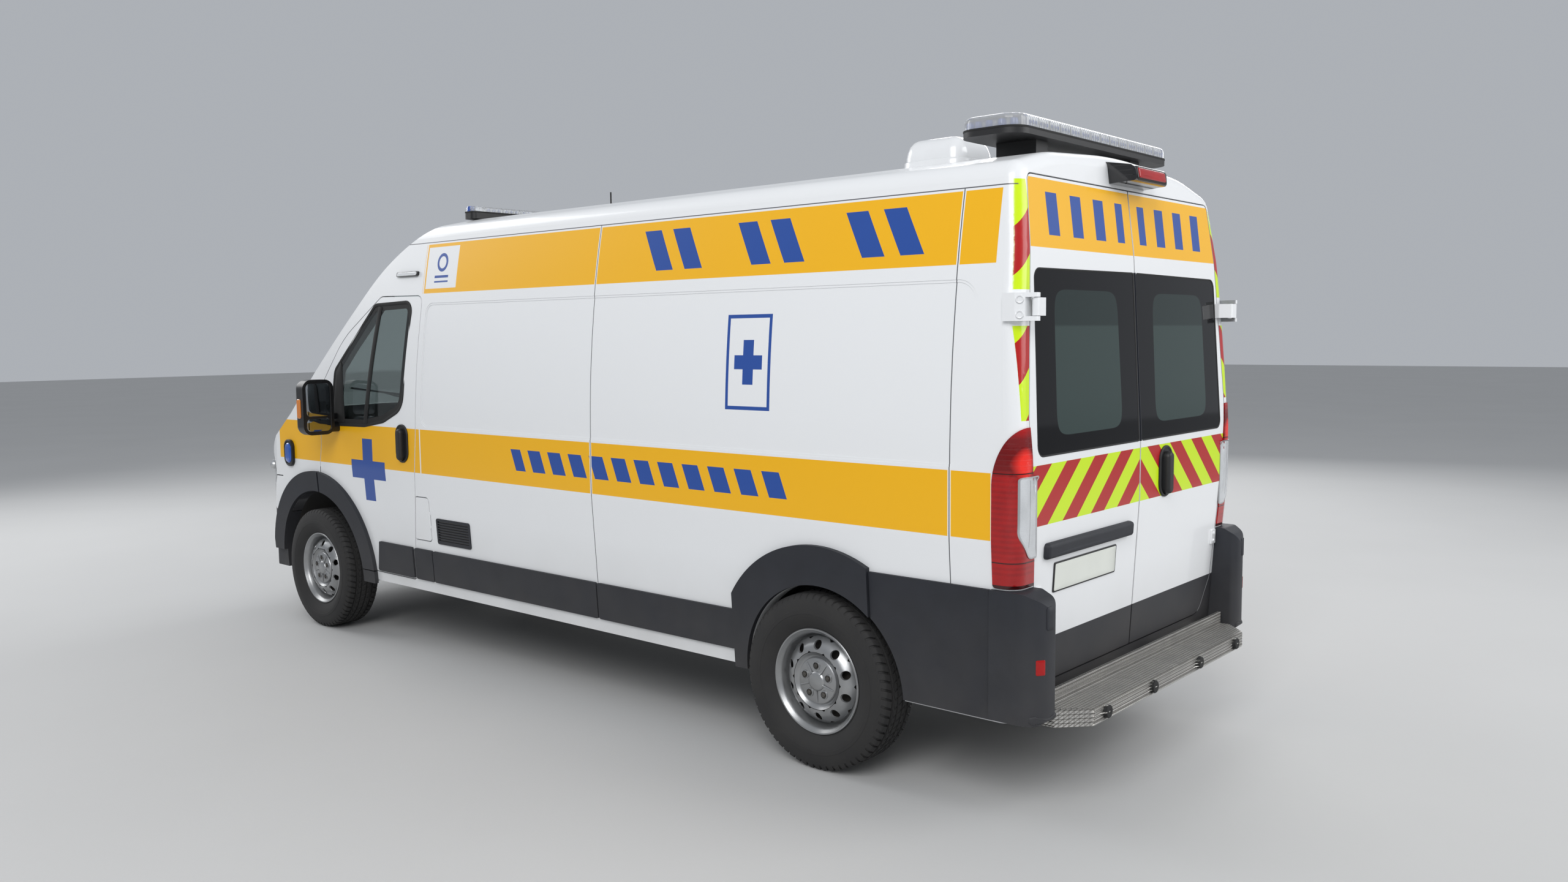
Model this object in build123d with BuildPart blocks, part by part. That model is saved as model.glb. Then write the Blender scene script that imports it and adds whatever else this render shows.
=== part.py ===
from build123d import *
import math
import os

os.makedirs("parts", exist_ok=True)

# A high-roof panel van ambulance, in mm: X forward, Y to its left, Z up, origin on the ground
# under the middle of its box. Stations along the vehicle are measured from the rear axle.
WHEELBASE = 4035
FRONT_OVERHANG = 948
STEP_OVERHANG = 1131
BUFFER_DEPTH = 14
LENGTH = WHEELBASE + FRONT_OVERHANG + STEP_OVERHANG + BUFFER_DEPTH
REAR_AXLE_X = STEP_OVERHANG + BUFFER_DEPTH - LENGTH / 2
FRONT_AXLE_X = REAR_AXLE_X + WHEELBASE

HALF_WIDTH = 1000
BELT_Z = 1050
SILL_HALF = 955
SILL_Z = 367
ROOF_Z = 2531
SEAM_Z = 2341
SIDE_LEAN_Z = 1815

WALL = 65
HOOD_THICK = 38
FACE_THICK = 45
FLAP_THICK = 12
FLAP_SEAT = 6
GLASS_OUT = 2
GLASS_IN = 8
SEAT_GAP = 0.3
PIN_GAP = 0.05
PANEL_GAP = 6
TRIM_GAP = 4
CLAD = 13
LAMP_PROUD = 6
FLARE = 24
PRESS_STEP = 2
PRESS_DEPTH = 4
REAR_CORNER_R = 60

TYRE_R = 372
TYRE_WIDTH = 225
FRONT_TRACK_HALF = 905
REAR_TRACK_HALF = 895
KINGPIN_HALF = 835
FRONT_ARCH_R = 490
REAR_ARCH_R = 410
REAR_ARCH_SHIFT = -25
FRONT_FLARE_R = 615
REAR_FLARE_R = 577

LOAD_FLOOR_Z = 640
FLOOR_THICK = 40
RAIL_TOP_Z = LOAD_FLOOR_Z - FLOOR_THICK
RAIL_HALF = 430
BULKHEAD_X = 2700
NOSE_AXIS = 1700
REACH = 1400


def st(x):
    return REAR_AXLE_X + x


def save(piece, name):
    piece.part.label = name
    export_step(piece.part, f"parts/{name}.step")


DOOR_BOTTOM_Z = 425

# Side outlines as (station, height, corner radius).
NOSE_LINE = [(1700, 2545, 0), (3218, 2500, 1600), (4500, 1345, 160), (4915, 1025, 90),
             (4976, 700, 70), (4983, 540, 150), (4940, 250, 0), (4940, -200, 0), (1700, -200, 0)]
TAIL_LINE = [(5200, 2700, 0), (-600, 2700, 0), (-868, 2520, 110), (-918, 2117, 900),
             (-960, 1371, 900), (-959, 1109, 500), (-920, 470, 300), (-880, -200, 0), (5200, -200, 0)]
DOOR_LINE = [(2858, 2044, 45), (3283, 2050, 70), (3672, 1812, 700), (3925, 1520, 160),
             (3948, 1153, 300), (3982, 955, 60), (3988, DOOR_BOTTOM_Z, 0), (2996, DOOR_BOTTOM_Z, 30),
             (2976, 649, 200), (2932, 930, 200), (2896, 1281, 500)]
DOOR_WINDOW = [(2968, 2002, 45), (3036, 1420, 110), (3230, 1343, 150), (3431, 1312, 150),
               (3800, 1306, 40), (3748, 1613, 60), (3335, 1992, 40)]
REAR_DOOR_LINE = [(485, 731, 90), (646, 838, 60), (877, 858, 40), (1480, 914, 300),
                  (2114, 852, 900), (2382, 824, 30)]
FLAP_LINE = [(2804, 911, 20), (2804, 667, 20), (2966, 667, 10), (2926, 911, 10)]


# Half of the cross section as (half width, height, corner radius), sill to ridge.
SECTION_HALF = [(SILL_HALF - 18, -150, 0), (SILL_HALF, SILL_Z, 300), (HALF_WIDTH, BELT_Z, 600),
                (HALF_WIDTH, SIDE_LEAN_Z, 5300), (877, 2425, 90), (600, 2490, 900)]
SECTION_LINE = SECTION_HALF + [(0, ROOF_Z, 3500)]
SECTION_LINE += [(-y, z, r) for y, z, r in reversed(SECTION_HALF)]
PLAN_LINE = [(-1000, -1030, 95), (-1000, 1030, 95), (4500, 1030, 900), (4860, 860, 330),
             (5060, 300, 0), (5060, -300, 0), (4860, -860, 330), (4500, -1030, 900)]


def inset(outline, amount):
    """The outline moved inwards, each side parallel to itself and each arc about its own centre."""
    size = len(outline)
    area = sum(outline[i - 1][0] * outline[i][1] - outline[i][0] * outline[i - 1][1] for i in range(size))
    turn = 1 if area > 0 else -1
    moved = []
    for i, (x, z, radius) in enumerate(outline):
        before = Vector(x - outline[i - 1][0], z - outline[i - 1][1]).normalized()
        after = Vector(outline[(i + 1) % size][0] - x, outline[(i + 1) % size][1] - z).normalized()
        sides = [Vector(-side.Y, side.X) * turn for side in (before, after)]
        shift = (sides[0] + sides[1]) * (amount / (1 + sides[0].dot(sides[1])))
        convex = before.cross(after).Z * turn > 0
        bend = radius + (-amount if convex else amount)
        moved.append((x + shift.X, z + shift.Y, max(bend, 0) if radius else 0))
    return moved


# Solids that cut and bound the panels.
def prism(plane, outline, length):
    """An outline of (first, second, radius) on a plane, run along the plane's normal."""
    with BuildPart() as run:
        with BuildSketch(plane):
            with BuildLine():
                FilletPolyline(*[(u, v) for u, v, _ in outline], radius=[r for _, _, r in outline], close=True)
            make_face()
        extrude(amount=length)
    return run.part


def side_prism(outline, grow=0.0, low=0.0, high=REACH):
    """An outline of (station, z, radius) seen from the side, grown and run from y = low to y = high."""
    placed = [(st(x), z, r) for x, z, r in inset(outline, -grow)]
    return prism(Plane.XZ.offset(-high), placed, high - low)


def front_prism(outline, x_low, x_high, grow=0.0):
    """An outline of (y, z, radius) seen from the front, run between two stations."""
    return prism(Plane.YZ.offset(st(x_low)), inset(outline, -grow), x_high - x_low)


def plan_prism(outline, z_low, z_high, grow=0.0):
    """An outline of (station, y, radius) seen from above, run between two heights."""
    placed = [(st(x), y, r) for x, y, r in inset(outline, -grow)]
    return prism(Plane.XY.offset(z_low), placed, z_high - z_low)


def span_box(x_range, y_range, z_range):
    """A box given by its ranges: stations, widths and heights."""
    with BuildPart() as block:
        with BuildSketch(Plane.XY.offset(z_range[0])):
            with Locations((st(sum(x_range) / 2), sum(y_range) / 2)):
                Rectangle(x_range[1] - x_range[0], y_range[1] - y_range[0])
        extrude(amount=z_range[1] - z_range[0])
    return block.part


def wheel_drum(x, radius, y_low, y_high, z=TYRE_R):
    """A cylinder across the vehicle, about a wheel's axis."""
    with BuildPart() as drum:
        with BuildSketch(Plane.XZ.offset(-y_high)):
            with Locations((st(x), z)):
                Circle(radius)
        extrude(amount=y_high - y_low)
    return drum.part


def post(x, y, radius, z_low, z_high):
    """An upright round post at a station."""
    with BuildPart() as run:
        with BuildSketch(Plane.XY.offset(z_low)):
            with Locations((st(x), y)):
                Circle(radius)
        extrude(amount=z_high - z_low)
    return run.part


def nose_form(depth):
    """The bonnet, windscreen and roof front, turned about an upright axis so they bow forward."""
    with BuildPart() as nose:
        with BuildSketch(Plane.XZ.shift_origin((st(NOSE_AXIS), 0, 0))):
            line = inset([(x - NOSE_AXIS, z, r) for x, z, r in NOSE_LINE], depth)
            on_axis = [(0, line[0][1])] + [(x, z) for x, z, _ in line[1:-1]] + [(0, line[-1][1])]
            with BuildLine():
                FilletPolyline(*on_axis, radius=[r for _, _, r in line], close=True)
            make_face()
        revolve(axis=Axis((st(NOSE_AXIS), 0, 0), (0, 0, 1)))
    return nose.part


CORNER_LEAST = 5


def is_rear_corner(edge):
    """True for the long upright edges where the sides meet the tail."""
    box = edge.bounding_box()
    return box.max.X < st(-840) and abs(edge.center().Y) > 800 and box.size.Z > 100


def body_form(depth):
    """The closed outer form of the body, moved inwards by a depth."""
    nose = nose_form(depth)
    section = inset(SECTION_LINE, depth)
    front = prism(Plane.YZ.offset(st(NOSE_AXIS)), section, 3500)
    back = prism(Plane.YZ.offset(st(-1300)), section, NOSE_AXIS + 1300)
    tail = prism(Plane.XZ.offset(-REACH), [(st(x), z, r) for x, z, r in inset(TAIL_LINE, depth)], 2 * REACH)
    plan = plan_prism(PLAN_LINE, -100, 3000, grow=-depth)
    with BuildPart() as form:
        add(front)
        add(nose, mode=Mode.INTERSECT)
        add(back)
        add(tail, mode=Mode.INTERSECT)
        add(plan, mode=Mode.INTERSECT)
        corners = [edge for edge in form.edges() if is_rear_corner(edge)]
        if REAR_CORNER_R - depth > CORNER_LEAST:
            fillet(corners, REAR_CORNER_R - depth)
    return form.part


DEPTHS = {-FLARE, -CLAD, -LAMP_PROUD, -SEAT_GAP, 0, GLASS_OUT, PRESS_STEP, PRESS_DEPTH,
          GLASS_IN, GLASS_IN + SEAT_GAP, FLAP_THICK, FLAP_THICK + FLAP_SEAT, HOOD_THICK,
          HOOD_THICK + SEAT_GAP, FACE_THICK, FACE_THICK + SEAT_GAP, WALL, WALL + SEAT_GAP}
FORM = {depth: body_form(depth) for depth in sorted(DEPTHS)}


def skin(outer, inner):
    """The layer of the body between two depths."""
    with BuildPart() as layer:
        add(FORM[outer])
        add(FORM[inner], mode=Mode.SUBTRACT)
    return layer.part


WALLS = skin(0, WALL)


def bounded(piece, *bounds):
    """A piece kept only inside every bound."""
    with BuildPart() as kept:
        add(piece)
        for bound in bounds:
            add(bound, mode=Mode.INTERSECT)
    return kept.part


def without(piece, *cutters):
    """A piece with every cutter taken out of it."""
    with BuildPart() as cut:
        add(piece)
        for cutter in cutters:
            add(cutter, mode=Mode.SUBTRACT)
    return cut.part


def mirrored(piece):
    """The same piece on the vehicle's right side."""
    with BuildPart() as twin:
        mirror(piece, about=Plane.XZ)
    return twin.part


GLASS_SEAT = without(FORM[0], FORM[GLASS_IN + SEAT_GAP])
GLASS_LAYER = skin(GLASS_OUT, GLASS_IN)
REBATE = 14
FRONT_ARCH = wheel_drum(WHEELBASE, FRONT_ARCH_R, -REACH, REACH)
REAR_ARCH = wheel_drum(REAR_ARCH_SHIFT, REAR_ARCH_R, -REACH, REACH)

# Front doors: the whole door's thickness, with a glazed window and a dark lower cladding.
DOOR_REGION = side_prism(DOOR_LINE)
DOOR_HOLE = side_prism(DOOR_LINE, grow=PANEL_GAP)
with BuildPart() as door_left:
    add(bounded(WALLS, DOOR_REGION))
    add(FRONT_ARCH, mode=Mode.SUBTRACT)
    add(side_prism(DOOR_WINDOW), mode=Mode.SUBTRACT)
    add(bounded(GLASS_SEAT, side_prism(DOOR_WINDOW, grow=REBATE)), mode=Mode.SUBTRACT)
save(door_left, "door_left")

with BuildPart() as door_glass_left:
    add(bounded(GLASS_LAYER, side_prism(DOOR_WINDOW, grow=REBATE - SEAT_GAP)))
save(door_glass_left, "door_glass_left")

# Mirrors stand off the doors on a short arm.
MIRROR_X = 3750
MIRROR_Z = 1405
MIRROR_HALF = 1142
MIRROR_WIDTH = 196
MIRROR_HEIGHT = 330
MIRROR_DEPTH = 110
with BuildPart() as mirror_left:
    with BuildSketch(Plane.YZ.offset(st(MIRROR_X - MIRROR_DEPTH / 2))):
        with Locations((MIRROR_HALF, MIRROR_Z)):
            RectangleRounded(MIRROR_WIDTH, MIRROR_HEIGHT, 55)
    extrude(amount=MIRROR_DEPTH)
    fillet(mirror_left.faces().sort_by(Axis.X)[-1].edges(), 45)
    with BuildSketch(Plane.XZ.offset(-MIRROR_HALF)):
        with Locations((st(MIRROR_X), MIRROR_Z - 130)):
            RectangleRounded(70, 50, 20)
    extrude(amount=MIRROR_HALF - 960)
    add(FORM[-SEAT_GAP], mode=Mode.SUBTRACT)
save(mirror_left, "mirror_left")

# Dark plastic round the wheel arches and along the sills.
TRIM_LAYER = skin(-CLAD, -SEAT_GAP)
FLARE_LAYER = skin(-FLARE, -SEAT_GAP)
VENT_X = (2420, 2737)
VENT_Z = (660, 805)
VENT_LINE = [(VENT_X[0], VENT_Z[0], 14), (VENT_X[0], VENT_Z[1], 14), (VENT_X[1], VENT_Z[1], 14),
             (VENT_X[1], VENT_Z[0], 14)]
VENT_SLOTS = 8
VENT_BORDER = 14
VENT_SLAT = 6
MOULD_TOP_Z = 612
MOULD_BOTTOM_Z = 432
FLARE_JOINT_Z = 990
MOULD_FRONT = 3404
front_flare = without(bounded(FLARE_LAYER, wheel_drum(WHEELBASE, FRONT_FLARE_R, 0, REACH)), FRONT_ARCH)
rear_flare = without(bounded(FLARE_LAYER, wheel_drum(REAR_ARCH_SHIFT, REAR_FLARE_R, 0, REACH)), REAR_ARCH)
with BuildPart() as door_cladding_left:
    add(bounded(front_flare, span_box((3300, 3978), (0, REACH), (425, FLARE_JOINT_Z))))
    add(bounded(TRIM_LAYER, side_prism([(2998, MOULD_TOP_Z, 12), (2998, MOULD_BOTTOM_Z, 12),
                                        (3385, MOULD_BOTTOM_Z, 12), (3350, MOULD_TOP_Z, 12)])))
save(door_cladding_left, "door_cladding_left")

with BuildPart() as arch_flares:
    add(bounded(front_flare, span_box((3994, 4636), (0, REACH), (436, 1100))))
    add(bounded(front_flare, span_box((3300, 3560), (0, REACH), (SILL_Z - 20, 419))))
    add(bounded(rear_flare, span_box((-287, 458), (0, REACH), (SILL_Z - 10, 1000))))
    add(bounded(without(TRIM_LAYER, REAR_ARCH),
                span_box((-838, -291), (0, REACH), (SILL_Z + 8, 872))))
    mirror(about=Plane.XZ)
save(arch_flares, "arch_flares")

with BuildPart() as side_mouldings:
    for x_low, x_high in ((464, 1376), (1384, 2790), (2798, 2976)):
        add(bounded(TRIM_LAYER, side_prism([(x_low, MOULD_TOP_Z, 12), (x_low, MOULD_BOTTOM_Z, 12),
                                            (x_high, MOULD_BOTTOM_Z, 12), (x_high, MOULD_TOP_Z, 12)])))
    mirror(about=Plane.XZ)
    # An air grille with level slots, on the left side only.
    add(bounded(skin(-LAMP_PROUD, -SEAT_GAP), side_prism(VENT_LINE)))
    slot_pitch = (VENT_Z[1] - VENT_Z[0] - 2 * VENT_BORDER) / VENT_SLOTS
    for slot in range(VENT_SLOTS):
        slot_z = VENT_Z[0] + VENT_BORDER + slot * slot_pitch
        add(span_box((VENT_X[0] + VENT_BORDER, VENT_X[1] - VENT_BORDER), (900, REACH),
                     (slot_z + VENT_SLAT, slot_z + slot_pitch)), mode=Mode.SUBTRACT)
save(side_mouldings, "side_mouldings")

# The load space: two sides, a roof, a rear frame, a floor and a bulkhead.
PORTAL_X = -775
REAR_DOOR_POINTS = [(-y, z, r) for z, y, r in reversed(REAR_DOOR_LINE)]
REAR_DOOR_FULL = [(y, z, r) for z, y, r in REAR_DOOR_LINE] + REAR_DOOR_POINTS
REAR_OPENING = front_prism(REAR_DOOR_FULL, -1300, -700, grow=PANEL_GAP)

# A fuel filler flap in the left side, on a short barrel hinge that leans with the side.
FLAP_HINGE = Vector(st(2800), 985, 789)
FLAP_LEAN = math.degrees(math.atan2(HALF_WIDTH - SILL_HALF, BELT_Z - SILL_Z))
FLAP_BARREL_R = 5
FLAP_PIN_R = 2
FLAP_BARREL_HALF = 30
FLAP_EAR = 18
FLAP_PLANE = Plane(origin=FLAP_HINGE, x_dir=(1, 0, 0),
                   z_dir=(0, math.sin(math.radians(FLAP_LEAN)), math.cos(math.radians(FLAP_LEAN))))


def flap_rod(radius, low, high):
    """A round rod on the fuel flap's hinge axis."""
    with BuildPart() as rod:
        with BuildSketch(FLAP_PLANE.offset(low)):
            Circle(radius)
        extrude(amount=high - low)
    return rod.part


FLAP_EARS = [(-FLAP_BARREL_HALF - FLAP_EAR, -FLAP_BARREL_HALF - SEAT_GAP),
             (FLAP_BARREL_HALF + SEAT_GAP, FLAP_BARREL_HALF + FLAP_EAR)]
with BuildPart() as fuel_flap:
    add(bounded(skin(0, FLAP_THICK), side_prism(FLAP_LINE)))
    for low, high in FLAP_EARS:
        add(flap_rod(FLAP_BARREL_R + 2, low - SEAT_GAP, high + SEAT_GAP), mode=Mode.SUBTRACT)
    add(flap_rod(FLAP_BARREL_R, -FLAP_BARREL_HALF, FLAP_BARREL_HALF))
    add(flap_rod(FLAP_PIN_R + PIN_GAP, -2 * FLAP_BARREL_HALF, 2 * FLAP_BARREL_HALF), mode=Mode.SUBTRACT)
save(fuel_flap, "fuel_flap")

# A shallow pressed panel along each side of the load space.
PRESS_LINE = [(-765, 1312, 90), (-765, 2003, 90), (2812, 2003, 60), (2840, 1312, 60)]
PRESS_EDGE = 10
with BuildPart() as press:
    add(bounded(skin(0, PRESS_STEP), side_prism(PRESS_LINE)))
    add(bounded(skin(0, PRESS_DEPTH), side_prism(PRESS_LINE, grow=-PRESS_EDGE)))

CAB_X = 2992
with BuildPart() as zone:
    add(span_box((PORTAL_X, CAB_X), (0, REACH), (SILL_Z, SEAM_Z)))
    add(span_box((CAB_X - 1, 3600), (0, REACH), (SILL_Z, DOOR_BOTTOM_Z + 25)))
side_zone = without(zone.part, FRONT_ARCH)
with BuildPart() as body_side_left:
    add(bounded(WALLS, side_zone))
    add(DOOR_HOLE, mode=Mode.SUBTRACT)
    add(REAR_ARCH, mode=Mode.SUBTRACT)
    add(press.part, mode=Mode.SUBTRACT)
    add(bounded(skin(0, FLAP_THICK + FLAP_SEAT), side_prism(FLAP_LINE, grow=PANEL_GAP)), mode=Mode.SUBTRACT)
    add(flap_rod(FLAP_BARREL_R + 2, -FLAP_BARREL_HALF - 1, FLAP_BARREL_HALF + 1), mode=Mode.SUBTRACT)
    for low, high in FLAP_EARS:
        add(flap_rod(FLAP_BARREL_R, low, high))
    add(flap_rod(FLAP_PIN_R, -FLAP_BARREL_HALF - FLAP_EAR, FLAP_BARREL_HALF + FLAP_EAR))
save(body_side_left, "body_side_left")

SLIDE_LINE = [(1400, 2020, 60), (1400, 470, 40), (2680, 470, 40), (2680, 2020, 60)]
SLIDE_WINDOW = [(1560, 1900, 70), (1560, 1330, 70), (2520, 1330, 70), (2520, 1900, 70)]
with BuildPart() as body_side_right:
    add(mirrored(without(bounded(WALLS, side_zone), DOOR_HOLE, REAR_ARCH, press.part,
                         side_prism(SLIDE_LINE, grow=PANEL_GAP))))
save(body_side_right, "body_side_right")

with BuildPart() as sliding_door:
    add(mirrored(without(bounded(WALLS, side_prism(SLIDE_LINE)), press.part, side_prism(SLIDE_WINDOW),
                         bounded(GLASS_SEAT, side_prism(SLIDE_WINDOW, grow=REBATE)))))
save(sliding_door, "sliding_door")

with BuildPart() as sliding_door_glass:
    add(mirrored(bounded(GLASS_LAYER, side_prism(SLIDE_WINDOW, grow=REBATE - SEAT_GAP))))
save(sliding_door_glass, "sliding_door_glass")

with BuildPart() as roof:
    add(bounded(WALLS, span_box((PORTAL_X, 3600), (-REACH, REACH), (SEAM_Z, ROOF_Z + 50))))
save(roof, "roof")

# Outside hinges of the rear doors: an arm with a barrel on the door, two ears and a pin on the frame.
HINGE_X = -985
HINGE_HALF = 930
HINGE_Z = 1897
BARREL_R = 14
HINGE_PIN_R = 6
ARM_HALF = 32
BRACKET_HALF = 50
HINGE_LOW = HINGE_Z - BRACKET_HALF
HINGE_HIGH = HINGE_Z + BRACKET_HALF
BARREL_BACK = HINGE_X - BARREL_R
ARM_PLAN = [(BARREL_BACK, HINGE_HALF - 2, 0), (BARREL_BACK, 880, 14), (-950, 844, 10), (-900, 844, 0),
            (-900, 866, 0), (-950, 866, 0), (-977, 892, 0), (-977, HINGE_HALF - 2, 0)]
BRACKET_PLAN = [(BARREL_BACK, 920, 6), (BARREL_BACK, 945, 12), (-930, 985, 0), (-880, 985, 0),
                (-880, 930, 0), (-965, 918, 0)]
ARM_SWEEP = span_box((-1200, -962), (800, 1200), (HINGE_Z - ARM_HALF - 2, HINGE_Z + ARM_HALF + 2))

LAMP_BOTTOM_Z = 880
lamp_side = [(-1100, LAMP_BOTTOM_Z, 0), (-851, LAMP_BOTTOM_Z, 12), (-851, 1401, 260),
             (-1003, 1492, 0), (-1100, 1550, 0)]
lamp_back = [(868, LAMP_BOTTOM_Z - 20, 0), (924, 1530, 0), (1100, 1530, 0), (1100, LAMP_BOTTOM_Z - 20, 0)]
lamp_zone = bounded(side_prism(lamp_side), front_prism(lamp_back, -1200, -700))
lamp_hole = bounded(side_prism(lamp_side, grow=2), front_prism(lamp_back, -1200, -700, grow=2))
with BuildPart() as rear_portal:
    add(bounded(WALLS, span_box((-1100, PORTAL_X), (-REACH, REACH), (SILL_Z, ROOF_Z + 50))))
    add(REAR_OPENING, mode=Mode.SUBTRACT)
    for hole in (lamp_hole, mirrored(lamp_hole)):
        add(bounded(skin(0, HOOD_THICK + SEAT_GAP), hole), mode=Mode.SUBTRACT)
    for side in (1, -1):
        ears = without(plan_prism(BRACKET_PLAN, HINGE_LOW, HINGE_HIGH), FORM[0], ARM_SWEEP)
        add(ears if side > 0 else mirrored(ears))
        add(post(HINGE_X, side * HINGE_HALF, HINGE_PIN_R, HINGE_LOW, HINGE_HIGH))
save(rear_portal, "rear_portal")

POD_PLAN = [(-995, -150, 20), (-995, 150, 20), (-800, 172, 0), (-800, -172, 0)]
POD_SIDE = [(-995, 2408, 14), (-985, 2470, 30), (-800, 2500, 0), (-800, 2395, 0)]
with BuildPart() as tail_lamps:
    add(bounded(skin(-LAMP_PROUD, HOOD_THICK), lamp_zone))
    mirror(about=Plane.XZ)
    add(without(bounded(plan_prism(POD_PLAN, 2300, 2600), side_prism(POD_SIDE, low=-300, high=300)),
                FORM[-SEAT_GAP]))
save(tail_lamps, "tail_lamps")

# The cab: header, pillars, cowl sides and sills in one frame, with wings, bonnet and front face.
WINDSCREEN_LINE = [(-835, 1372, 60), (-748, 2128, 90), (748, 2128, 90), (835, 1372, 60)]
HOOD_REAR_X = 4545
HOOD_REAR_HALF = 770
HOOD_SIDE_X = 4437
HOOD_FRONT_Z = 1012
FACE_LOW_Z = 700
GRILLE_HALF = 495


HOOD_PLAN = [(HOOD_SIDE_X, HOOD_REAR_HALF, 40), (HOOD_REAR_X + 28, 0, 1800),
             (HOOD_SIDE_X, -HOOD_REAR_HALF, 40), (5060, -500, 0), (5060, 500, 0)]
HOOD_FOLD = 12


def hood_prism(grow):
    """The bonnet's outline seen from above, run upwards."""
    return plan_prism(HOOD_PLAN, HOOD_FRONT_Z - grow, HOOD_FRONT_Z + 500, grow=grow)


LAMP_LINE = [(506, 752, 30), (552, 1000, 50), (965, 1062, 60), (990, 930, 60), (930, 735, 60)]
LAMP_ZONE = front_prism(LAMP_LINE, 4480, 5100)
LAMP_HOLE = front_prism(LAMP_LINE, 4474, 5100, grow=TRIM_GAP)
GRILLE_LINE = [(-GRILLE_HALF, 712, 40), (GRILLE_HALF, 712, 40), (GRILLE_HALF + 40, 1000, 40),
               (-GRILLE_HALF - 40, 1000, 40)]
FRONT_X = 3900
CENTRE_LINE = [(-493.6, 690, 0), (493.6, 690, 0), (551.4, 1012, 0), (-551.4, 1012, 0)]
CENTRE_ZONE = front_prism(CENTRE_LINE, 4600, 5100)

# Each bonnet hinge: a barrel on the bonnet turns on a pin across a pocket in the cowl.
HOOD_HINGE_X = 4437
HOOD_HINGE_Z = 1312
HOOD_BARREL_R = 8
HOOD_PIN_R = 5
HOOD_ARM = (655, 685)
HOOD_POCKET = (650, 690)
SCREEN_HOLE = front_prism(WINDSCREEN_LINE, 3000, 5100)
SCREEN_SEAT = front_prism(WINDSCREEN_LINE, 3000, 5100, grow=REBATE)

with BuildPart() as windscreen:
    add(bounded(GLASS_LAYER, front_prism(WINDSCREEN_LINE, 3000, 5100, grow=REBATE - SEAT_GAP)))
save(windscreen, "windscreen")

with BuildPart() as cab_frame:
    add(bounded(WALLS, span_box((2850, 5100), (-REACH, REACH), (SILL_Z, SEAM_Z))))
    add(span_box((2850, CAB_X), (-REACH, REACH), (0, SEAM_Z)), mode=Mode.SUBTRACT)
    add(span_box((CAB_X - 1, 3700), (-REACH, REACH), (0, DOOR_BOTTOM_Z + 25)), mode=Mode.SUBTRACT)
    add(DOOR_HOLE, mode=Mode.SUBTRACT)
    add(mirrored(DOOR_HOLE), mode=Mode.SUBTRACT)
    add(FRONT_ARCH, mode=Mode.SUBTRACT)
    add(SCREEN_HOLE, mode=Mode.SUBTRACT)
    add(bounded(GLASS_SEAT, SCREEN_SEAT), mode=Mode.SUBTRACT)
    add(hood_prism(PANEL_GAP), mode=Mode.SUBTRACT)
    add(span_box((FRONT_X, 5100), (-REACH, REACH), (0, 1290)), mode=Mode.SUBTRACT)
    for side in (-1, 1):
        pocket = sorted(side * y for y in HOOD_POCKET)
        add(span_box((HOOD_HINGE_X - 13, 4500), pocket, (HOOD_HINGE_Z - 20, 1500)), mode=Mode.SUBTRACT)
        add(wheel_drum(HOOD_HINGE_X, HOOD_PIN_R, pocket[0] - 5, pocket[1] + 5, HOOD_HINGE_Z))
save(cab_frame, "cab_frame")

with BuildPart() as wings:
    add(bounded(WALLS, span_box((FRONT_X, 5100), (-REACH, REACH), (SILL_Z, 1290))))
    add(hood_prism(PANEL_GAP), mode=Mode.SUBTRACT)
    add(DOOR_HOLE, mode=Mode.SUBTRACT)
    add(mirrored(DOOR_HOLE), mode=Mode.SUBTRACT)
    add(CENTRE_ZONE, mode=Mode.SUBTRACT)
    add(span_box((4600, 5100), (-610, 610), (960, HOOD_FRONT_Z)), mode=Mode.SUBTRACT)
    add(LAMP_HOLE, mode=Mode.SUBTRACT)
    add(mirrored(LAMP_HOLE), mode=Mode.SUBTRACT)
    add(FRONT_ARCH, mode=Mode.SUBTRACT)
    add(span_box((4000, 5100), (-REACH, REACH), (0, FACE_LOW_Z)), mode=Mode.SUBTRACT)
save(wings, "wings")

with BuildPart() as hood:
    add(bounded(skin(0, FLAP_THICK), hood_prism(0)))
    add(bounded(skin(0, HOOD_THICK), hood_prism(-HOOD_FOLD)))
    for side in (-1, 1):
        reach = sorted(side * y for y in HOOD_ARM)
        add(wheel_drum(HOOD_HINGE_X, HOOD_BARREL_R, *reach, HOOD_HINGE_Z))
        add(span_box((HOOD_HINGE_X, 4466), reach, (HOOD_HINGE_Z - 14, HOOD_HINGE_Z - 2)))
        add(wheel_drum(HOOD_HINGE_X, HOOD_PIN_R + PIN_GAP, *reach, HOOD_HINGE_Z), mode=Mode.SUBTRACT)
save(hood, "hood")

# A carrier behind the grille and headlamps, standing on the bumper.
CARRIER_HOLE = [(-430, 745, 30), (430, 745, 30), (450, 965, 30), (-450, 965, 30)]
with BuildPart() as front_carrier:
    add(bounded(FORM[FACE_THICK + SEAT_GAP], LAMP_HOLE))
    mirror(about=Plane.XZ)
    add(bounded(FORM[FACE_THICK + SEAT_GAP], front_prism(CENTRE_LINE, 4600, 5100, grow=-SEAT_GAP),
                span_box((4600, 5100), (-600, 600), (FACE_LOW_Z - TRIM_GAP, HOOD_FRONT_Z - PANEL_GAP))))
    add(FORM[WALL], mode=Mode.SUBTRACT)
    add(hood_prism(PANEL_GAP), mode=Mode.SUBTRACT)
    add(FRONT_ARCH, mode=Mode.SUBTRACT)
    add(front_prism(CARRIER_HOLE, 4600, 5100), mode=Mode.SUBTRACT)
save(front_carrier, "front_carrier")

with BuildPart() as headlamps:
    add(bounded(skin(0, FACE_THICK), LAMP_ZONE))
    mirror(about=Plane.XZ)
save(headlamps, "headlamps")

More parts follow.
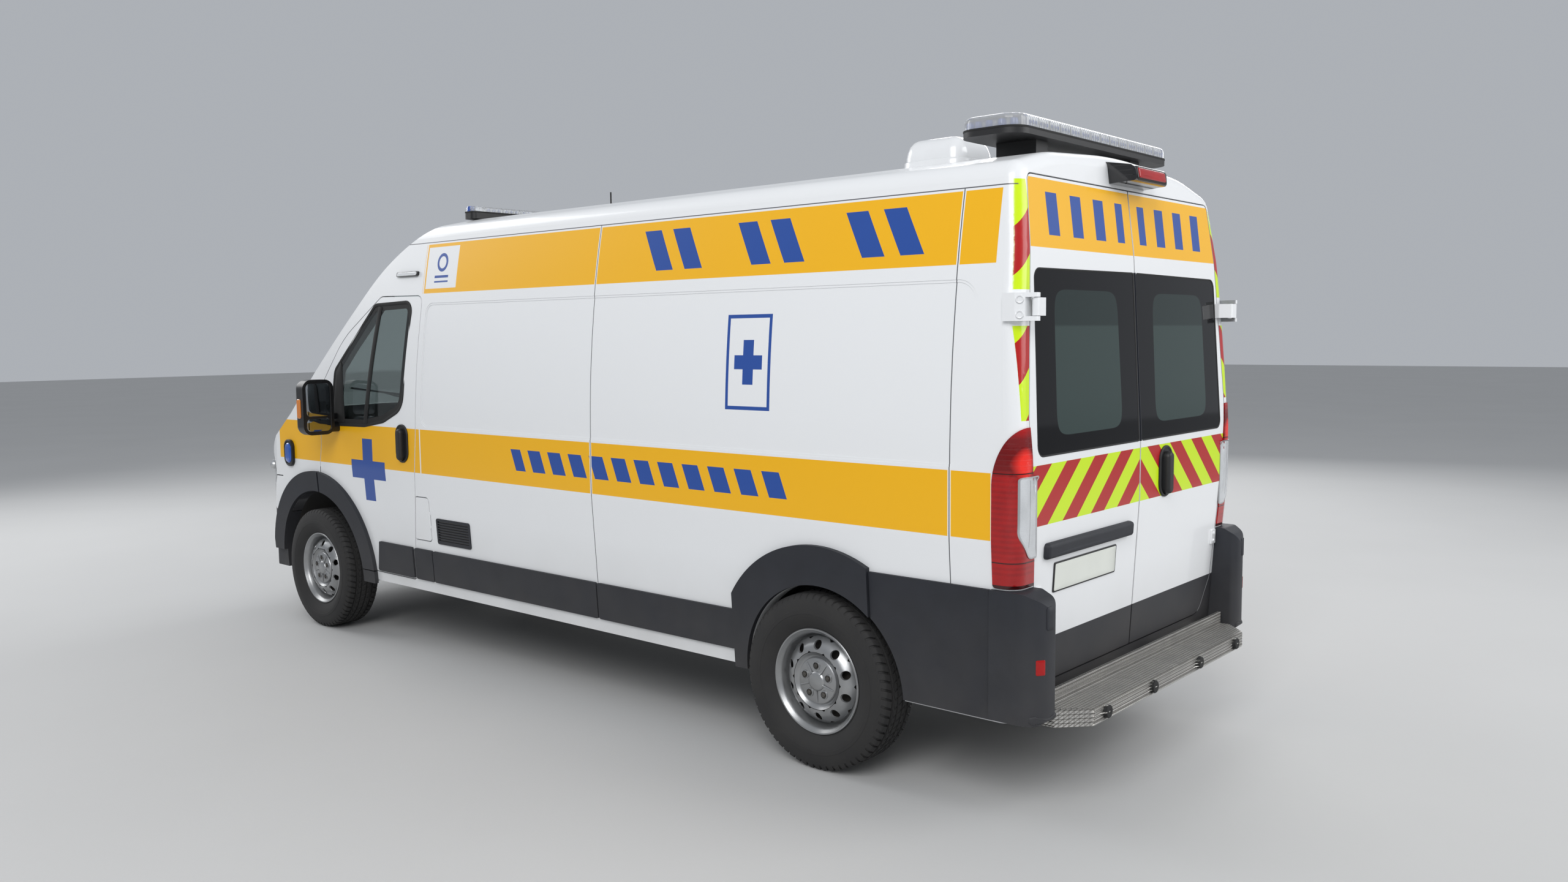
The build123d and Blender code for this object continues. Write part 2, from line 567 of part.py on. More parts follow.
SLATS = 5
with BuildPart() as grille:
    add(bounded(skin(0, FACE_THICK), front_prism(GRILLE_LINE, 4600, 5100)))
    for slot in range(SLATS):
        slot_z = 712 + 288 * (slot + 0.5) / SLATS
        add(span_box((4600, 5100), (-GRILLE_HALF + 40, -30), (slot_z - 18, slot_z + 18)), mode=Mode.SUBTRACT)
        add(span_box((4600, 5100), (30, GRILLE_HALF - 40), (slot_z - 18, slot_z + 18)), mode=Mode.SUBTRACT)
save(grille, "grille")

with BuildPart() as front_bumper:
    add(bounded(WALLS, span_box((4300, 5100), (-REACH, REACH), (320, FACE_LOW_Z - TRIM_GAP))))
    add(wheel_drum(WHEELBASE, FRONT_ARCH_R, -REACH, REACH), mode=Mode.SUBTRACT)
    add(span_box((4700, 5100), (-420, 420), (430, 560)), mode=Mode.SUBTRACT)
save(front_bumper, "front_bumper")

# Rear doors, each with a hinge arm and a pane that covers the door's upper half round a window.
# Their meeting edges step back inside, so that one door swings past the other.
MEET_HALF = 5
MEET_BACK = 16
REAR_WINDOW = [(160, 1420, 110), (708, 1420, 110), (689, 1966, 110), (168, 1966, 110)]
REAR_PANE = [(12, 1352, 12), (864, 1352, 40), (836, 2040, 40), (12, 2046, 12)]
LEAF_LINE = [(MEET_HALF, 485, 0)] + [(y, z, r) for z, y, r in REAR_DOOR_LINE] + [(MEET_HALF, 2382, 0)]
ARM_LOW = HINGE_Z - ARM_HALF
ARM_HIGH = HINGE_Z + ARM_HALF
with BuildPart() as rear_door_left:
    add(bounded(WALLS, front_prism(LEAF_LINE, -1100, -800)))
    add(bounded(FORM[FLAP_THICK], span_box((-1100, -700), (0, MEET_BACK), (400, 2500))), mode=Mode.SUBTRACT)
    add(front_prism(REAR_WINDOW, -1200, -700), mode=Mode.SUBTRACT)
    add(bounded(GLASS_SEAT, front_prism(REAR_PANE, -1200, -700)), mode=Mode.SUBTRACT)
    add(without(plan_prism(ARM_PLAN, ARM_LOW, ARM_HIGH), FORM[GLASS_IN]))
    add(post(HINGE_X, HINGE_HALF, BARREL_R, ARM_LOW, ARM_HIGH))
    add(post(HINGE_X, HINGE_HALF, HINGE_PIN_R + PIN_GAP, ARM_LOW, ARM_HIGH), mode=Mode.SUBTRACT)
save(rear_door_left, "rear_door_left")

with BuildPart() as rear_glass_left:
    add(bounded(GLASS_LAYER, front_prism(REAR_PANE, -1200, -700, grow=-SEAT_GAP)))
save(rear_glass_left, "rear_glass_left")

for left, name in ((door_left, "door"), (door_glass_left, "door_glass"), (mirror_left, "mirror"),
                   (door_cladding_left, "door_cladding"), (rear_door_left, "rear_door"),
                   (rear_glass_left, "rear_glass")):
    with BuildPart() as right:
        mirror(left.part, about=Plane.XZ)
    save(right, name + "_right")

# Floors, with tubs over the wheels.
TUB = 6
TUB_INNER = 560
REAR_TUB_INNER = 640
CABIN = FORM[WALL + SEAT_GAP]
BULK_THICK = 30
with BuildPart() as load_floor:
    add(bounded(CABIN, span_box((-1000, BULKHEAD_X), (-REACH, REACH), (RAIL_TOP_Z, LOAD_FLOOR_Z))))
    for y_low, y_high in ((REAR_TUB_INNER - TUB, REACH), (-REACH, TUB - REAR_TUB_INNER)):
        add(wheel_drum(REAR_ARCH_SHIFT, REAR_ARCH_R + TUB, y_low, y_high), mode=Mode.SUBTRACT)
save(load_floor, "load_floor")


def tub(x, radius, y_inner):
    """A wheel tub on the left side: a half drum with an inner wall."""
    with BuildPart() as shell:
        add(wheel_drum(x, radius + TUB - SEAT_GAP, y_inner - TUB + SEAT_GAP, REACH))
        add(wheel_drum(x, radius, y_inner, REACH), mode=Mode.SUBTRACT)
        add(CABIN, mode=Mode.INTERSECT)
        add(span_box((x - 1000, x + 1000), (0, REACH), (TYRE_R + 60, 2000)), mode=Mode.INTERSECT)
    return shell.part


STRUT_HALF = 720
STRUT_R = 30
strut_hole = post(WHEELBASE, STRUT_HALF, STRUT_R + SEAT_GAP, 700, 1100)
STRUT_TOP_Z = TYRE_R + FRONT_ARCH_R + TUB - SEAT_GAP
with BuildPart() as wheel_tubs:
    add(without(tub(WHEELBASE, FRONT_ARCH_R, TUB_INNER), strut_hole))
    add(tub(REAR_ARCH_SHIFT, REAR_ARCH_R, REAR_TUB_INNER))
    mirror(about=Plane.XZ)
save(wheel_tubs, "wheel_tubs")

with BuildPart() as bulkhead:
    add(bounded(CABIN, span_box((BULKHEAD_X + SEAT_GAP, BULKHEAD_X + BULK_THICK), (-REACH, REACH),
                                (RAIL_TOP_Z, ROOF_Z))))
save(bulkhead, "bulkhead")

CAB_FLOOR_Z = 610
CAB_UNDER_Z = CAB_FLOOR_Z - 30
CAB_BACK_X = BULKHEAD_X + BULK_THICK + SEAT_GAP
FIREWALL = [(CAB_BACK_X, CAB_UNDER_Z, 0), (CAB_BACK_X, CAB_FLOOR_Z, 0), (4060, CAB_FLOOR_Z, 60),
            (4330, 1240, 40), (4450, 1262, 0), (4450, 1234, 0), (4352, 1214, 20), (4085, CAB_UNDER_Z, 60)]
with BuildPart() as cab_floor:
    add(bounded(side_prism(FIREWALL, low=-REACH, high=REACH), CABIN))
    for y_low, y_high in ((TUB_INNER - TUB, REACH), (-REACH, TUB - TUB_INNER)):
        add(wheel_drum(WHEELBASE, FRONT_ARCH_R + TUB, y_low, y_high), mode=Mode.SUBTRACT)
save(cab_floor, "cab_floor")

# Rails, cross members, engine and the rest of the underside.
RAIL_WIDTH = 70
RAIL_BOTTOM_Z = 490
CAB_RAIL_TOP_Z = CAB_UNDER_Z
CAB_RAIL_BOTTOM_Z = 430
JACK_PAD = 12
JACK_PAD_HALF = 60
with BuildPart() as chassis:
    for side in (-1, 1):
        y_mid = side * RAIL_HALF
        spread = (y_mid - RAIL_WIDTH / 2, y_mid + RAIL_WIDTH / 2)
        add(span_box((-835, 2500), spread, (RAIL_BOTTOM_Z, RAIL_TOP_Z)))
        add(span_box((2490, 4640), spread, (CAB_RAIL_BOTTOM_Z, CAB_RAIL_TOP_Z)))
        for x_mid, rail_z in ((3250, CAB_RAIL_BOTTOM_Z), (350, RAIL_BOTTOM_Z)):
            add(span_box((x_mid - JACK_PAD_HALF, x_mid + JACK_PAD_HALF), spread, (rail_z - JACK_PAD, rail_z)))
    for x_mid in (60, 900, 1700, 2450, 3000, 3500):
        add(span_box((x_mid - 35, x_mid + 35), (-RAIL_HALF, RAIL_HALF), (RAIL_BOTTOM_Z + 10, RAIL_TOP_Z - 30)))
save(chassis, "chassis")

ENGINE_LINE = [(4125, 440, 0), (4640, 440, 0), (4640, 900, 60), (4300, 960, 30), (4262, 940, 20),
               (4125, 600, 0)]
ENGINE_HALF = 270
RAIL_INNER = RAIL_HALF - RAIL_WIDTH / 2
with BuildPart() as engine:
    add(side_prism(ENGINE_LINE, low=-ENGINE_HALF, high=ENGINE_HALF))
    add(span_box((4300, 4400), (-RAIL_INNER + SEAT_GAP, RAIL_INNER - SEAT_GAP), (455, 500)))
save(engine, "engine")

ARM_Z = (232, 260)
EAR_Z = (494, 522)
PIN_R = 12
with BuildPart() as front_suspension:
    add(span_box((WHEELBASE - 130, WHEELBASE + 130), (-400, 400), (ARM_Z[0], ARM_Z[1] + 40)))
    for side in (-1, 1):
        pin_y = side * KINGPIN_HALF
        hanger = (side * RAIL_HALF - RAIL_WIDTH / 2, side * RAIL_HALF + RAIL_WIDTH / 2)
        add(span_box((WHEELBASE - 60, WHEELBASE + 60), hanger, (ARM_Z[0], CAB_RAIL_BOTTOM_Z)))
        for z_low, z_high, y_start in ((ARM_Z[0], ARM_Z[1], 380), (EAR_Z[0], EAR_Z[1], STRUT_HALF - 20)):
            ends = sorted((side * y_start, pin_y))
            add(span_box((WHEELBASE - 24, WHEELBASE + 24), ends, (z_low, z_high)))
            add(post(WHEELBASE, pin_y, 24, z_low, z_high))
        add(post(WHEELBASE, side * STRUT_HALF, STRUT_R, EAR_Z[0], STRUT_TOP_Z))
        add(post(WHEELBASE, pin_y, PIN_R + PIN_GAP, ARM_Z[0] - 10, EAR_Z[1] + 10), mode=Mode.SUBTRACT)
save(front_suspension, "front_suspension")

SPINDLE_R = 34
SPINDLE_TIP = 45
with BuildPart() as knuckle_left:
    add(post(WHEELBASE, KINGPIN_HALF, 26, ARM_Z[1] + SEAT_GAP, EAR_Z[0] - SEAT_GAP))
    add(post(WHEELBASE, KINGPIN_HALF, PIN_R, ARM_Z[0], EAR_Z[1]))
    add(wheel_drum(WHEELBASE, SPINDLE_R - PIN_GAP, KINGPIN_HALF, FRONT_TRACK_HALF + SPINDLE_TIP))
    add(wheel_drum(WHEELBASE, 60, KINGPIN_HALF - 20, KINGPIN_HALF + 30))
save(knuckle_left, "knuckle_left")
with BuildPart() as knuckle_right:
    mirror(knuckle_left.part, about=Plane.XZ)
save(knuckle_right, "knuckle_right")

SPRING_HALF = 540
DIFF_R = 104
with BuildPart() as rear_axle:
    add(wheel_drum(0, 45, -REAR_TRACK_HALF + 40, REAR_TRACK_HALF - 40))
    add(wheel_drum(0, DIFF_R, -110, 110))
    for side in (-1, 1):
        tips = sorted((side * (REAR_TRACK_HALF - 60), side * (REAR_TRACK_HALF + SPINDLE_TIP)))
        add(wheel_drum(0, SPINDLE_R - PIN_GAP, *tips))
        add(wheel_drum(0, 60, *sorted((side * (REAR_TRACK_HALF - 90), side * (REAR_TRACK_HALF - 40)))))
        leaf = (side * SPRING_HALF - 38, side * SPRING_HALF + 38)
        add(span_box((-60, 60), leaf, (TYRE_R, 450)))
        add(prism(Plane.XZ.offset(-leaf[1]), [(st(-650), 520, 0), (st(0), 410, 2600), (st(650), 520, 0),
                                             (st(650), 540, 0), (st(0), 450, 2400), (st(-650), 540, 0)],
                  leaf[1] - leaf[0]))
        hanger = sorted((side * (RAIL_HALF + RAIL_WIDTH / 2 + SEAT_GAP), side * SPRING_HALF))
        for x_mid in (-640, 640):
            add(span_box((x_mid - 25, x_mid + 25), hanger, (510, 590)))
save(rear_axle, "rear_axle")

with BuildPart() as fuel_tank:
    with BuildSketch(Plane.XY.offset(370)):
        with Locations((st(1900), 650)):
            RectangleRounded(1000, 320, 60)
    extrude(amount=RAIL_TOP_Z - 370 - SEAT_GAP)
    fillet(fuel_tank.faces().sort_by(Axis.Z)[0].edges(), 40)
save(fuel_tank, "fuel_tank")

# The spare hangs from the load floor on a rod; its outline is half of its section, from its axis out.
SPARE_X = -475
SPARE_LINE = [(0, 405), (200, 405), (212, 352), (270, 345), (340, 358), (366, 400), (366, 505), (340, 547),
              (270, 560), (0, 560)]
with BuildPart() as spare_wheel:
    with BuildSketch(Plane.XZ.shift_origin((st(SPARE_X), 0, 0))):
        with BuildLine():
            Polyline(*SPARE_LINE, close=True)
        make_face()
    revolve(axis=Axis((st(SPARE_X), 0, 0), (0, 0, 1)))
    add(post(SPARE_X, 0, 18, 550, RAIL_TOP_Z - SEAT_GAP))
save(spare_wheel, "spare_wheel")

PIPE_R = 30
EXHAUST_Y = -230
SILENCER_HALF = 85
SILENCER_Z = RAIL_BOTTOM_Z + 10 - SILENCER_HALF - SEAT_GAP
PIPE_LINE = [(4330, 409.7), (3900, 409.7), (3600, 385), (1900, 385), (1700, SILENCER_Z), (1500, SILENCER_Z)]
with BuildPart() as exhaust:
    with BuildLine():
        route = FilletPolyline(*[(st(x), EXHAUST_Y, z) for x, z in PIPE_LINE], radius=300)
    with BuildSketch(Plane(origin=route @ 0, z_dir=route % 0)):
        Circle(PIPE_R)
    sweep()
    with BuildSketch(Plane.YZ.offset(st(700))):
        with Locations((EXHAUST_Y, SILENCER_Z)):
            Ellipse(120, SILENCER_HALF)
    extrude(amount=820)
save(exhaust, "exhaust")

# Wheels: a tyre and a pressed steel rim each.
RIM_RING = [(-85, 222), (-77, 222), (-77, 206), (-60, 200), (60, 200), (77, 206), (77, 222), (85, 222),
            (85, 198), (65, 190), (-65, 190), (-85, 198)]
RIM_DISC = [(28, 191), (62, 168), (76, 140), (72, 108), (58, 92), (58, 34), (20, 34), (20, 62), (48, 62),
            (50, 98), (64, 112), (68, 138), (55, 160), (18, 191)]
VENTS = 10
TYRE_HALF = [(76, 206.5), (76.5, 226), (106, 262), (TYRE_WIDTH / 2, 296), (108, 330), (95, 357), (80, TYRE_R)]


def wheel(name, x, y):
    """One wheel about its own axle; its outer face looks away from the vehicle."""
    side = 1 if y > 0 else -1
    face = Plane(origin=(st(x), y, TYRE_R), x_dir=(0, side, 0), z_dir=(side, 0, 0))
    hub = Plane(origin=(st(x), y, TYRE_R), x_dir=(1, 0, 0), z_dir=(0, side, 0))
    axle = Axis((st(x), y, TYRE_R), (0, 1, 0))
    with BuildPart() as tyre:
        with BuildSketch(face):
            with BuildLine():
                Polyline(*TYRE_HALF, *[(-width, r) for width, r in reversed(TYRE_HALF)], close=True)
            make_face()
        revolve(axis=axle)
    save(tyre, f"tyre_{name}")
    with BuildPart() as rim:
        with BuildSketch(face):
            with BuildLine():
                Polyline(*RIM_RING, close=True)
            make_face()
            with BuildLine():
                Polyline(*RIM_DISC, close=True)
            make_face()
        revolve(axis=axle)
        with BuildSketch(hub):
            with PolarLocations(150, VENTS):
                Circle(17)
        extrude(amount=120, mode=Mode.SUBTRACT)
        with BuildSketch(hub.offset(SPINDLE_TIP + 3)):
            Circle(62)
        extrude(amount=40, taper=25)
    save(rim, f"rim_{name}")


for name, x, y in (("front_left", WHEELBASE, FRONT_TRACK_HALF), ("front_right", WHEELBASE, -FRONT_TRACK_HALF),
                   ("rear_left", 0, REAR_TRACK_HALF), ("rear_right", 0, -REAR_TRACK_HALF)):
    wheel(name, x, y)

# Cab inside: dashboard, steering wheel and two seats.
DASH_LINE = [(3850, 900, 40), (3830, 1110, 50), (3930, 1215, 60), (4280, 1215, 0), (4280, 1130, 0),
             (4150, 830, 0), (4000, 830, 60)]
STEER_X = 3700
STEER_Y = 430
STEER_Z = 1170
STEER_TILT = 32
STEER_R = 190
HUB_BACK = 30
STUB_R = 10
COLUMN_R = 30
steer_axis = Vector(-math.sin(math.radians(STEER_TILT)), 0, math.cos(math.radians(STEER_TILT)))
STEER_CENTRE = Vector(st(STEER_X), STEER_Y, STEER_Z)


def steer_rod(radius, start, length):
    """A round rod on the steering axis, from a distance behind the wheel's centre towards the front."""
    with BuildPart() as rod:
        with BuildSketch(Plane(origin=STEER_CENTRE - steer_axis * start, x_dir=(0, 1, 0), z_dir=-steer_axis)):
            Circle(radius)
        extrude(amount=length)
    return rod.part


with BuildPart() as dashboard:
    add(bounded(side_prism(DASH_LINE, low=-900, high=900), CABIN))
    add(side_prism(FIREWALL, low=-REACH, high=REACH, grow=SEAT_GAP), mode=Mode.SUBTRACT)
    add(wheel_drum(WHEELBASE, FRONT_ARCH_R + TUB + 1, -REACH, REACH), mode=Mode.SUBTRACT)
    add(steer_rod(COLUMN_R, HUB_BACK + 1, 260))
    add(steer_rod(STUB_R + PIN_GAP, HUB_BACK, 51), mode=Mode.SUBTRACT)
save(dashboard, "dashboard")

with BuildPart() as steering_wheel:
    with BuildSketch(Plane(origin=STEER_CENTRE, x_dir=(0, 1, 0), z_dir=(steer_axis.Z, 0, -steer_axis.X))):
        with Locations((STEER_R, 0)):
            RegularPolygon(16, 8)
    revolve(axis=Axis(STEER_CENTRE, steer_axis))
    with BuildSketch(Plane(origin=STEER_CENTRE - steer_axis * HUB_BACK, x_dir=(0, 1, 0), z_dir=steer_axis)):
        Circle(62)
        with PolarLocations(110, 3, start_angle=90):
            Rectangle(150, 34)
    extrude(amount=24)
    add(steer_rod(STUB_R, HUB_BACK - 5, 50))
save(steering_wheel, "steering_wheel")

SEAT_X = 3130
with BuildPart() as seat_bases:
    for y_mid in (STEER_Y, -STEER_Y):
        add(span_box((SEAT_X - 200, SEAT_X + 220), (y_mid - 210, y_mid + 210), (CAB_FLOOR_Z + SEAT_GAP, 900)))
save(seat_bases, "seat_bases")
SEAT_BACK = [(2900, 1020.3, 30), (2780, 1660, 40), (2880, 1670, 40), (3020, 1020.3, 30)]
HEAD_REST = [(2790, 1690, 30), (2765, 1860, 30), (2850, 1865, 30), (2875, 1690, 30)]
with BuildPart() as seats:
    for y_mid in (STEER_Y, -STEER_Y):
        add(span_box((SEAT_X - 230, SEAT_X + 270), (y_mid - 250, y_mid + 250), (900 + SEAT_GAP, 1020)))
        add(side_prism(SEAT_BACK, low=y_mid - 240, high=y_mid + 240))
        add(side_prism(HEAD_REST, low=y_mid - 130, high=y_mid + 130))
        for stalk in (-60, 60):
            add(span_box((2805, 2825), (y_mid + stalk - 7, y_mid + stalk + 7), (1650, 1710)))
save(seats, "seats")

# Rear bumper corners, step and door hinges.
BUMPER_X = -1056
BUMPER_HALF = 1012
CORNER_PLAN = [(-846, 868, 0), (-846, BUMPER_HALF, 0), (BUMPER_X, BUMPER_HALF, 100), (BUMPER_X, 868, 40)]
CORNER_SIDE = [(-700, 392, 0), (-700, 874, 0), (-985, 874, 30), (BUMPER_X, 838, 60), (BUMPER_X - 2, 430, 40),
               (-1036, 392, 30)]
with BuildPart() as rear_bumper:
    add(bounded(without(plan_prism(CORNER_PLAN, 380, 880), FORM[-SEAT_GAP]), side_prism(CORNER_SIDE)))
    mirror(about=Plane.XZ)
save(rear_bumper, "rear_bumper")

STEP_TOP_Z = 422
STEP_BOTTOM_Z = 356
STEP_PLAN = [(-976, 850, 0), (-1029, 850, 20), (-STEP_OVERHANG, 742, 20), (-STEP_OVERHANG, -742, 20),
             (-1029, -850, 20), (-976, -850, 0)]
with BuildPart() as rear_step:
    add(plan_prism(STEP_PLAN, STEP_BOTTOM_Z, STEP_TOP_Z))
    add(without(span_box((-990, -976), (-840, 840), (STEP_TOP_Z, 478)), FORM[-SEAT_GAP]))
    for y_mid in (-640, -230, 230, 640):
        with BuildSketch(Plane.YZ.offset(st(-STEP_OVERHANG))):
            with Locations((y_mid, (STEP_TOP_Z + STEP_BOTTOM_Z) / 2)):
                Circle(24)
        extrude(amount=-BUFFER_DEPTH)
    for y_mid in (-RAIL_HALF, RAIL_HALF):
        leg = (y_mid - RAIL_WIDTH / 2, y_mid + RAIL_WIDTH / 2)
        add(span_box((-1000, -795), leg, (STEP_BOTTOM_Z - 26, SILL_Z - SEAT_GAP)))
        add(span_box((-835, -795), leg, (STEP_BOTTOM_Z - 26, RAIL_BOTTOM_Z - SEAT_GAP)))
save(rear_step, "rear_step")

# Warning lights and fittings on the roof and sides.
# Each light bar: its station, half depth, half length, lowest, base top, lens top and lens edge radius.
BARS = [(-630, 140, 690, 2562, 2588, 2640, 20), (2750, 50, 700, 2480, 2518, 2550, 12)]


def bar_block(bar, z_low, z_high, inside=0):
    """A block with a light bar's rounded plan."""
    x_mid, half_depth, half_length = bar[:3]
    with BuildPart() as block:
        with BuildSketch(Plane.XY.offset(z_low)):
            with Locations((st(x_mid), 0)):
                RectangleRounded(2 * (half_depth - inside), 2 * (half_length - inside), half_depth * 0.6)
        extrude(amount=z_high - z_low)
    return block.part


with BuildPart() as roof_fittings:
    for bar in BARS:
        add(bar_block(bar, bar[3], bar[4]))
    for y_mid in (-420, 420):
        add(span_box((-720, -540), (y_mid - 45, y_mid + 45), (2480, 2570)))
    with BuildSketch(Plane.XY.offset(2450)):
        with Locations((st(-205), 300)):
            RectangleRounded(290, 290, 70)
    extrude(amount=170, taper=12)
    add(post(2334, 0, 22, 2450, 2550))
    add(post(2334, 0, 5, 2500, 2650))
    add(FORM[-SEAT_GAP], mode=Mode.SUBTRACT)
save(roof_fittings, "roof_fittings")
with BuildPart() as lightbar_lenses:
    for bar in BARS:
        lens = bar_block(bar, bar[4] + SEAT_GAP, bar[5], inside=4)
        add(lens)
        rims = [edge for edge in lightbar_lenses.edges() if abs(edge.center().Z - bar[5]) < 1]
        fillet(rims, bar[6])
save(lightbar_lenses, "lightbar_lenses")

FLASHER_LINE = [(2911, 2160, 10), (2911, 2186, 10), (3126, 2186, 10), (3126, 2160, 10)]
WING_FLASHER = [(4290, 1000, 50), (4290, 1172, 50), (4404, 1172, 50), (4404, 1000, 50)]
with BuildPart() as side_flashers:
    for outline in (FLASHER_LINE, WING_FLASHER):
        add(bounded(TRIM_LAYER, side_prism(outline)))
    mirror(about=Plane.XZ)
save(side_flashers, "side_flashers")
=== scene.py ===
import bpy
import bmesh
from math import acos, ceil, cos, exp, pi, radians, sin, sqrt, tan
import numpy as np
from mathutils import Matrix, Vector
from mathutils.bvhtree import BVHTree


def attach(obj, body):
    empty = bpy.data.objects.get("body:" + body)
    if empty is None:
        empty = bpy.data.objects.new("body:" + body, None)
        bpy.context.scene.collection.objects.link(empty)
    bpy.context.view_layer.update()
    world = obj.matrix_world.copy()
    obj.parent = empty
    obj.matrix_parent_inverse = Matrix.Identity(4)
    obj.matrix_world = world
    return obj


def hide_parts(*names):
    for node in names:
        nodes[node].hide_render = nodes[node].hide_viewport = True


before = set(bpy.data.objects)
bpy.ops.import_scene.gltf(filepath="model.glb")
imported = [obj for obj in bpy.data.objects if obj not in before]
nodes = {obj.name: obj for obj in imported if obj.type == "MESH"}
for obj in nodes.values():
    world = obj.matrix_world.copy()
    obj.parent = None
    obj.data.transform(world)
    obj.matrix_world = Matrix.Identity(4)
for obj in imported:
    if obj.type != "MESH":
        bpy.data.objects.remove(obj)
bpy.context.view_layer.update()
scene = bpy.context.scene

# Stations count along X from the rear axle. Outlines and places on the body are in mm, the rest in metres.
REAR_AXLE = -1.919
HUB_HEIGHT = 372
AXLES = (("front", 4035, 905), ("rear", 0, 895))  # name, station, half of the track
SIDES = (("left", 1), ("right", -1))
X_AXIS, Y_AXIS, Z_AXIS = 0, 1, 2


def st(mm):
    """A station in millimetres from the rear axle, as metres along X."""
    return REAR_AXLE + mm / 1000


def mm(x, y, z):
    """A place given by station, Y and Z in millimetres."""
    return Vector((st(x), y / 1000, z / 1000))


def feed(value, socket):
    """Links a field to a socket, or sets a plain value on it."""
    if isinstance(value, Field):
        value.tree.links.new(value.out, socket)
    else:
        socket.default_value = value


class Field:
    """A number worked out all over a surface by math nodes. & means both, | either and ~ not."""
    def __init__(self, tree, out):
        self.tree, self.out = tree, out

    def do(self, kind, *others, clamp=False):
        node = self.tree.nodes.new("ShaderNodeMath")
        node.operation, node.use_clamp = kind, clamp
        for i, item in enumerate((self,) + others):
            feed(item, node.inputs[i])
        return Field(self.tree, node.outputs[0])

    def __add__(self, other):
        return self.do("ADD", other)

    def __sub__(self, other):
        return self.do("SUBTRACT", other)

    def __mul__(self, other):
        return self.do("MULTIPLY", other)

    def __pow__(self, other):
        return self.do("POWER", other)

    def __and__(self, other):
        return self.do("MINIMUM", other)

    def __or__(self, other):
        return self.do("MAXIMUM", other)

    def __invert__(self):
        return self.do("MULTIPLY_ADD", -1.0, 1.0)

    def __abs__(self):
        return self.do("ABSOLUTE")

    def wrap(self, high, low=0.0):
        return self.do("WRAP", high, low)

    def over(self, edge, soft=0.0012):
        """1 where this is more than the edge, 0 where it is less."""
        return (self - edge).do("MULTIPLY_ADD", 1 / soft, 0.5, clamp=True)

    def within(self, low, high, soft=0.0012):
        return self.over(low, soft) & ~self.over(high, soft)

    def near(self, value, reach, soft=0.0012):
        """1 where this is less than a reach away from a value."""
        return ~abs(self - value).over(reach, soft)


class Look:
    """A node material with places, normals and noise at hand as fields."""
    def __init__(self, name, color, rough, metal=0.0, **sockets):
        self.material = bpy.data.materials.new(name)
        self.material.use_nodes = True
        self.tree = self.material.node_tree
        self.shader = self.tree.nodes["Principled BSDF"]
        self.set("Roughness", rough)
        self.set("Metallic", metal)
        for key, value in sockets.items():
            self.set(key.replace("_", " "), value)
        self.color = self.material.diffuse_color = (*color, 1.0)
        self.normal = None
        where = self.tree.nodes.new("ShaderNodeTexCoord").outputs
        self.place = Field(self.tree, where["Object"])
        self.x, self.y, self.z = self.split(self.place)
        self.nx, self.ny, self.nz = self.split(Field(self.tree, where["Normal"]))

    def node(self, kind, **inputs):
        """A new node with some of its inputs set or linked."""
        made = self.tree.nodes.new(kind)
        for key, value in inputs.items():
            feed(value, made.inputs[key])
        return made

    def split(self, vector):
        made = self.node("ShaderNodeSeparateXYZ", Vector=vector)
        return [Field(self.tree, out) for out in made.outputs]

    def set(self, key, value):
        feed(value, self.shader.inputs[key])

    def noise(self, scale, detail=3.0):
        made = self.node("ShaderNodeTexNoise", Scale=scale, Detail=detail, Vector=self.place)
        return Field(self.tree, made.outputs["Fac"])

    def lay(self, color, where):
        """Lays a colour over what is there already, where a field is 1."""
        mix = self.tree.nodes.new("ShaderNodeMix")
        mix.data_type = "RGBA"
        for i, value in ((0, where), (6, self.color), (7, (*color, 1.0))):
            feed(value, mix.inputs[i])
        self.color = Field(self.tree, mix.outputs[2])

    def bump(self, height, depth, strength=1.0):
        """Raises the surface by a field, on top of earlier bumps; depth is in metres."""
        made = self.node("ShaderNodeBump", Distance=depth, Strength=strength, Height=height)
        if self.normal:
            feed(self.normal, made.inputs["Normal"])
        self.normal = Field(self.tree, made.outputs[0])

    def done(self):
        """Joins up the colour and the bumps."""
        self.set("Base Color", self.color)
        if self.normal:
            self.set("Normal", self.normal)
        return self.material


WHITE = (0.8, 0.81, 0.82)
YELLOW = (0.87, 0.45, 0.002)
BLUE = (0.014, 0.068, 0.32)
RED = (0.42, 0.003, 0.003)
LIME = (0.58, 0.8, 0.0)
DARK = (0.016, 0.018, 0.025)
INNER_SKIN = (0.3, 0.31, 0.32)
DIRT = (0.2, 0.18, 0.15)

# Heights of the yellow bands and of the dark skirt, and stations of the side's upright seams.
BELT = (1.052, 1.3)
CREST = (2.058, 2.33)
SKIRT = 0.655
ROOF_EDGE = 2.341
SEAMS = (st(1380), st(-667))
DOOR_SEAM = st(2852)
REAR_CORNER = st(-850)


def stripes(run, start, pitch):
    """Slanting stripes: 1 in the first half of each pitch of a run."""
    return ~(run - start).wrap(pitch).over(pitch / 2)


def at_seams(x, reach, soft=0.0012):
    """1 close to the two long seams of the side."""
    return x.near(SEAMS[0], reach, soft) | x.near(SEAMS[1], reach, soft)


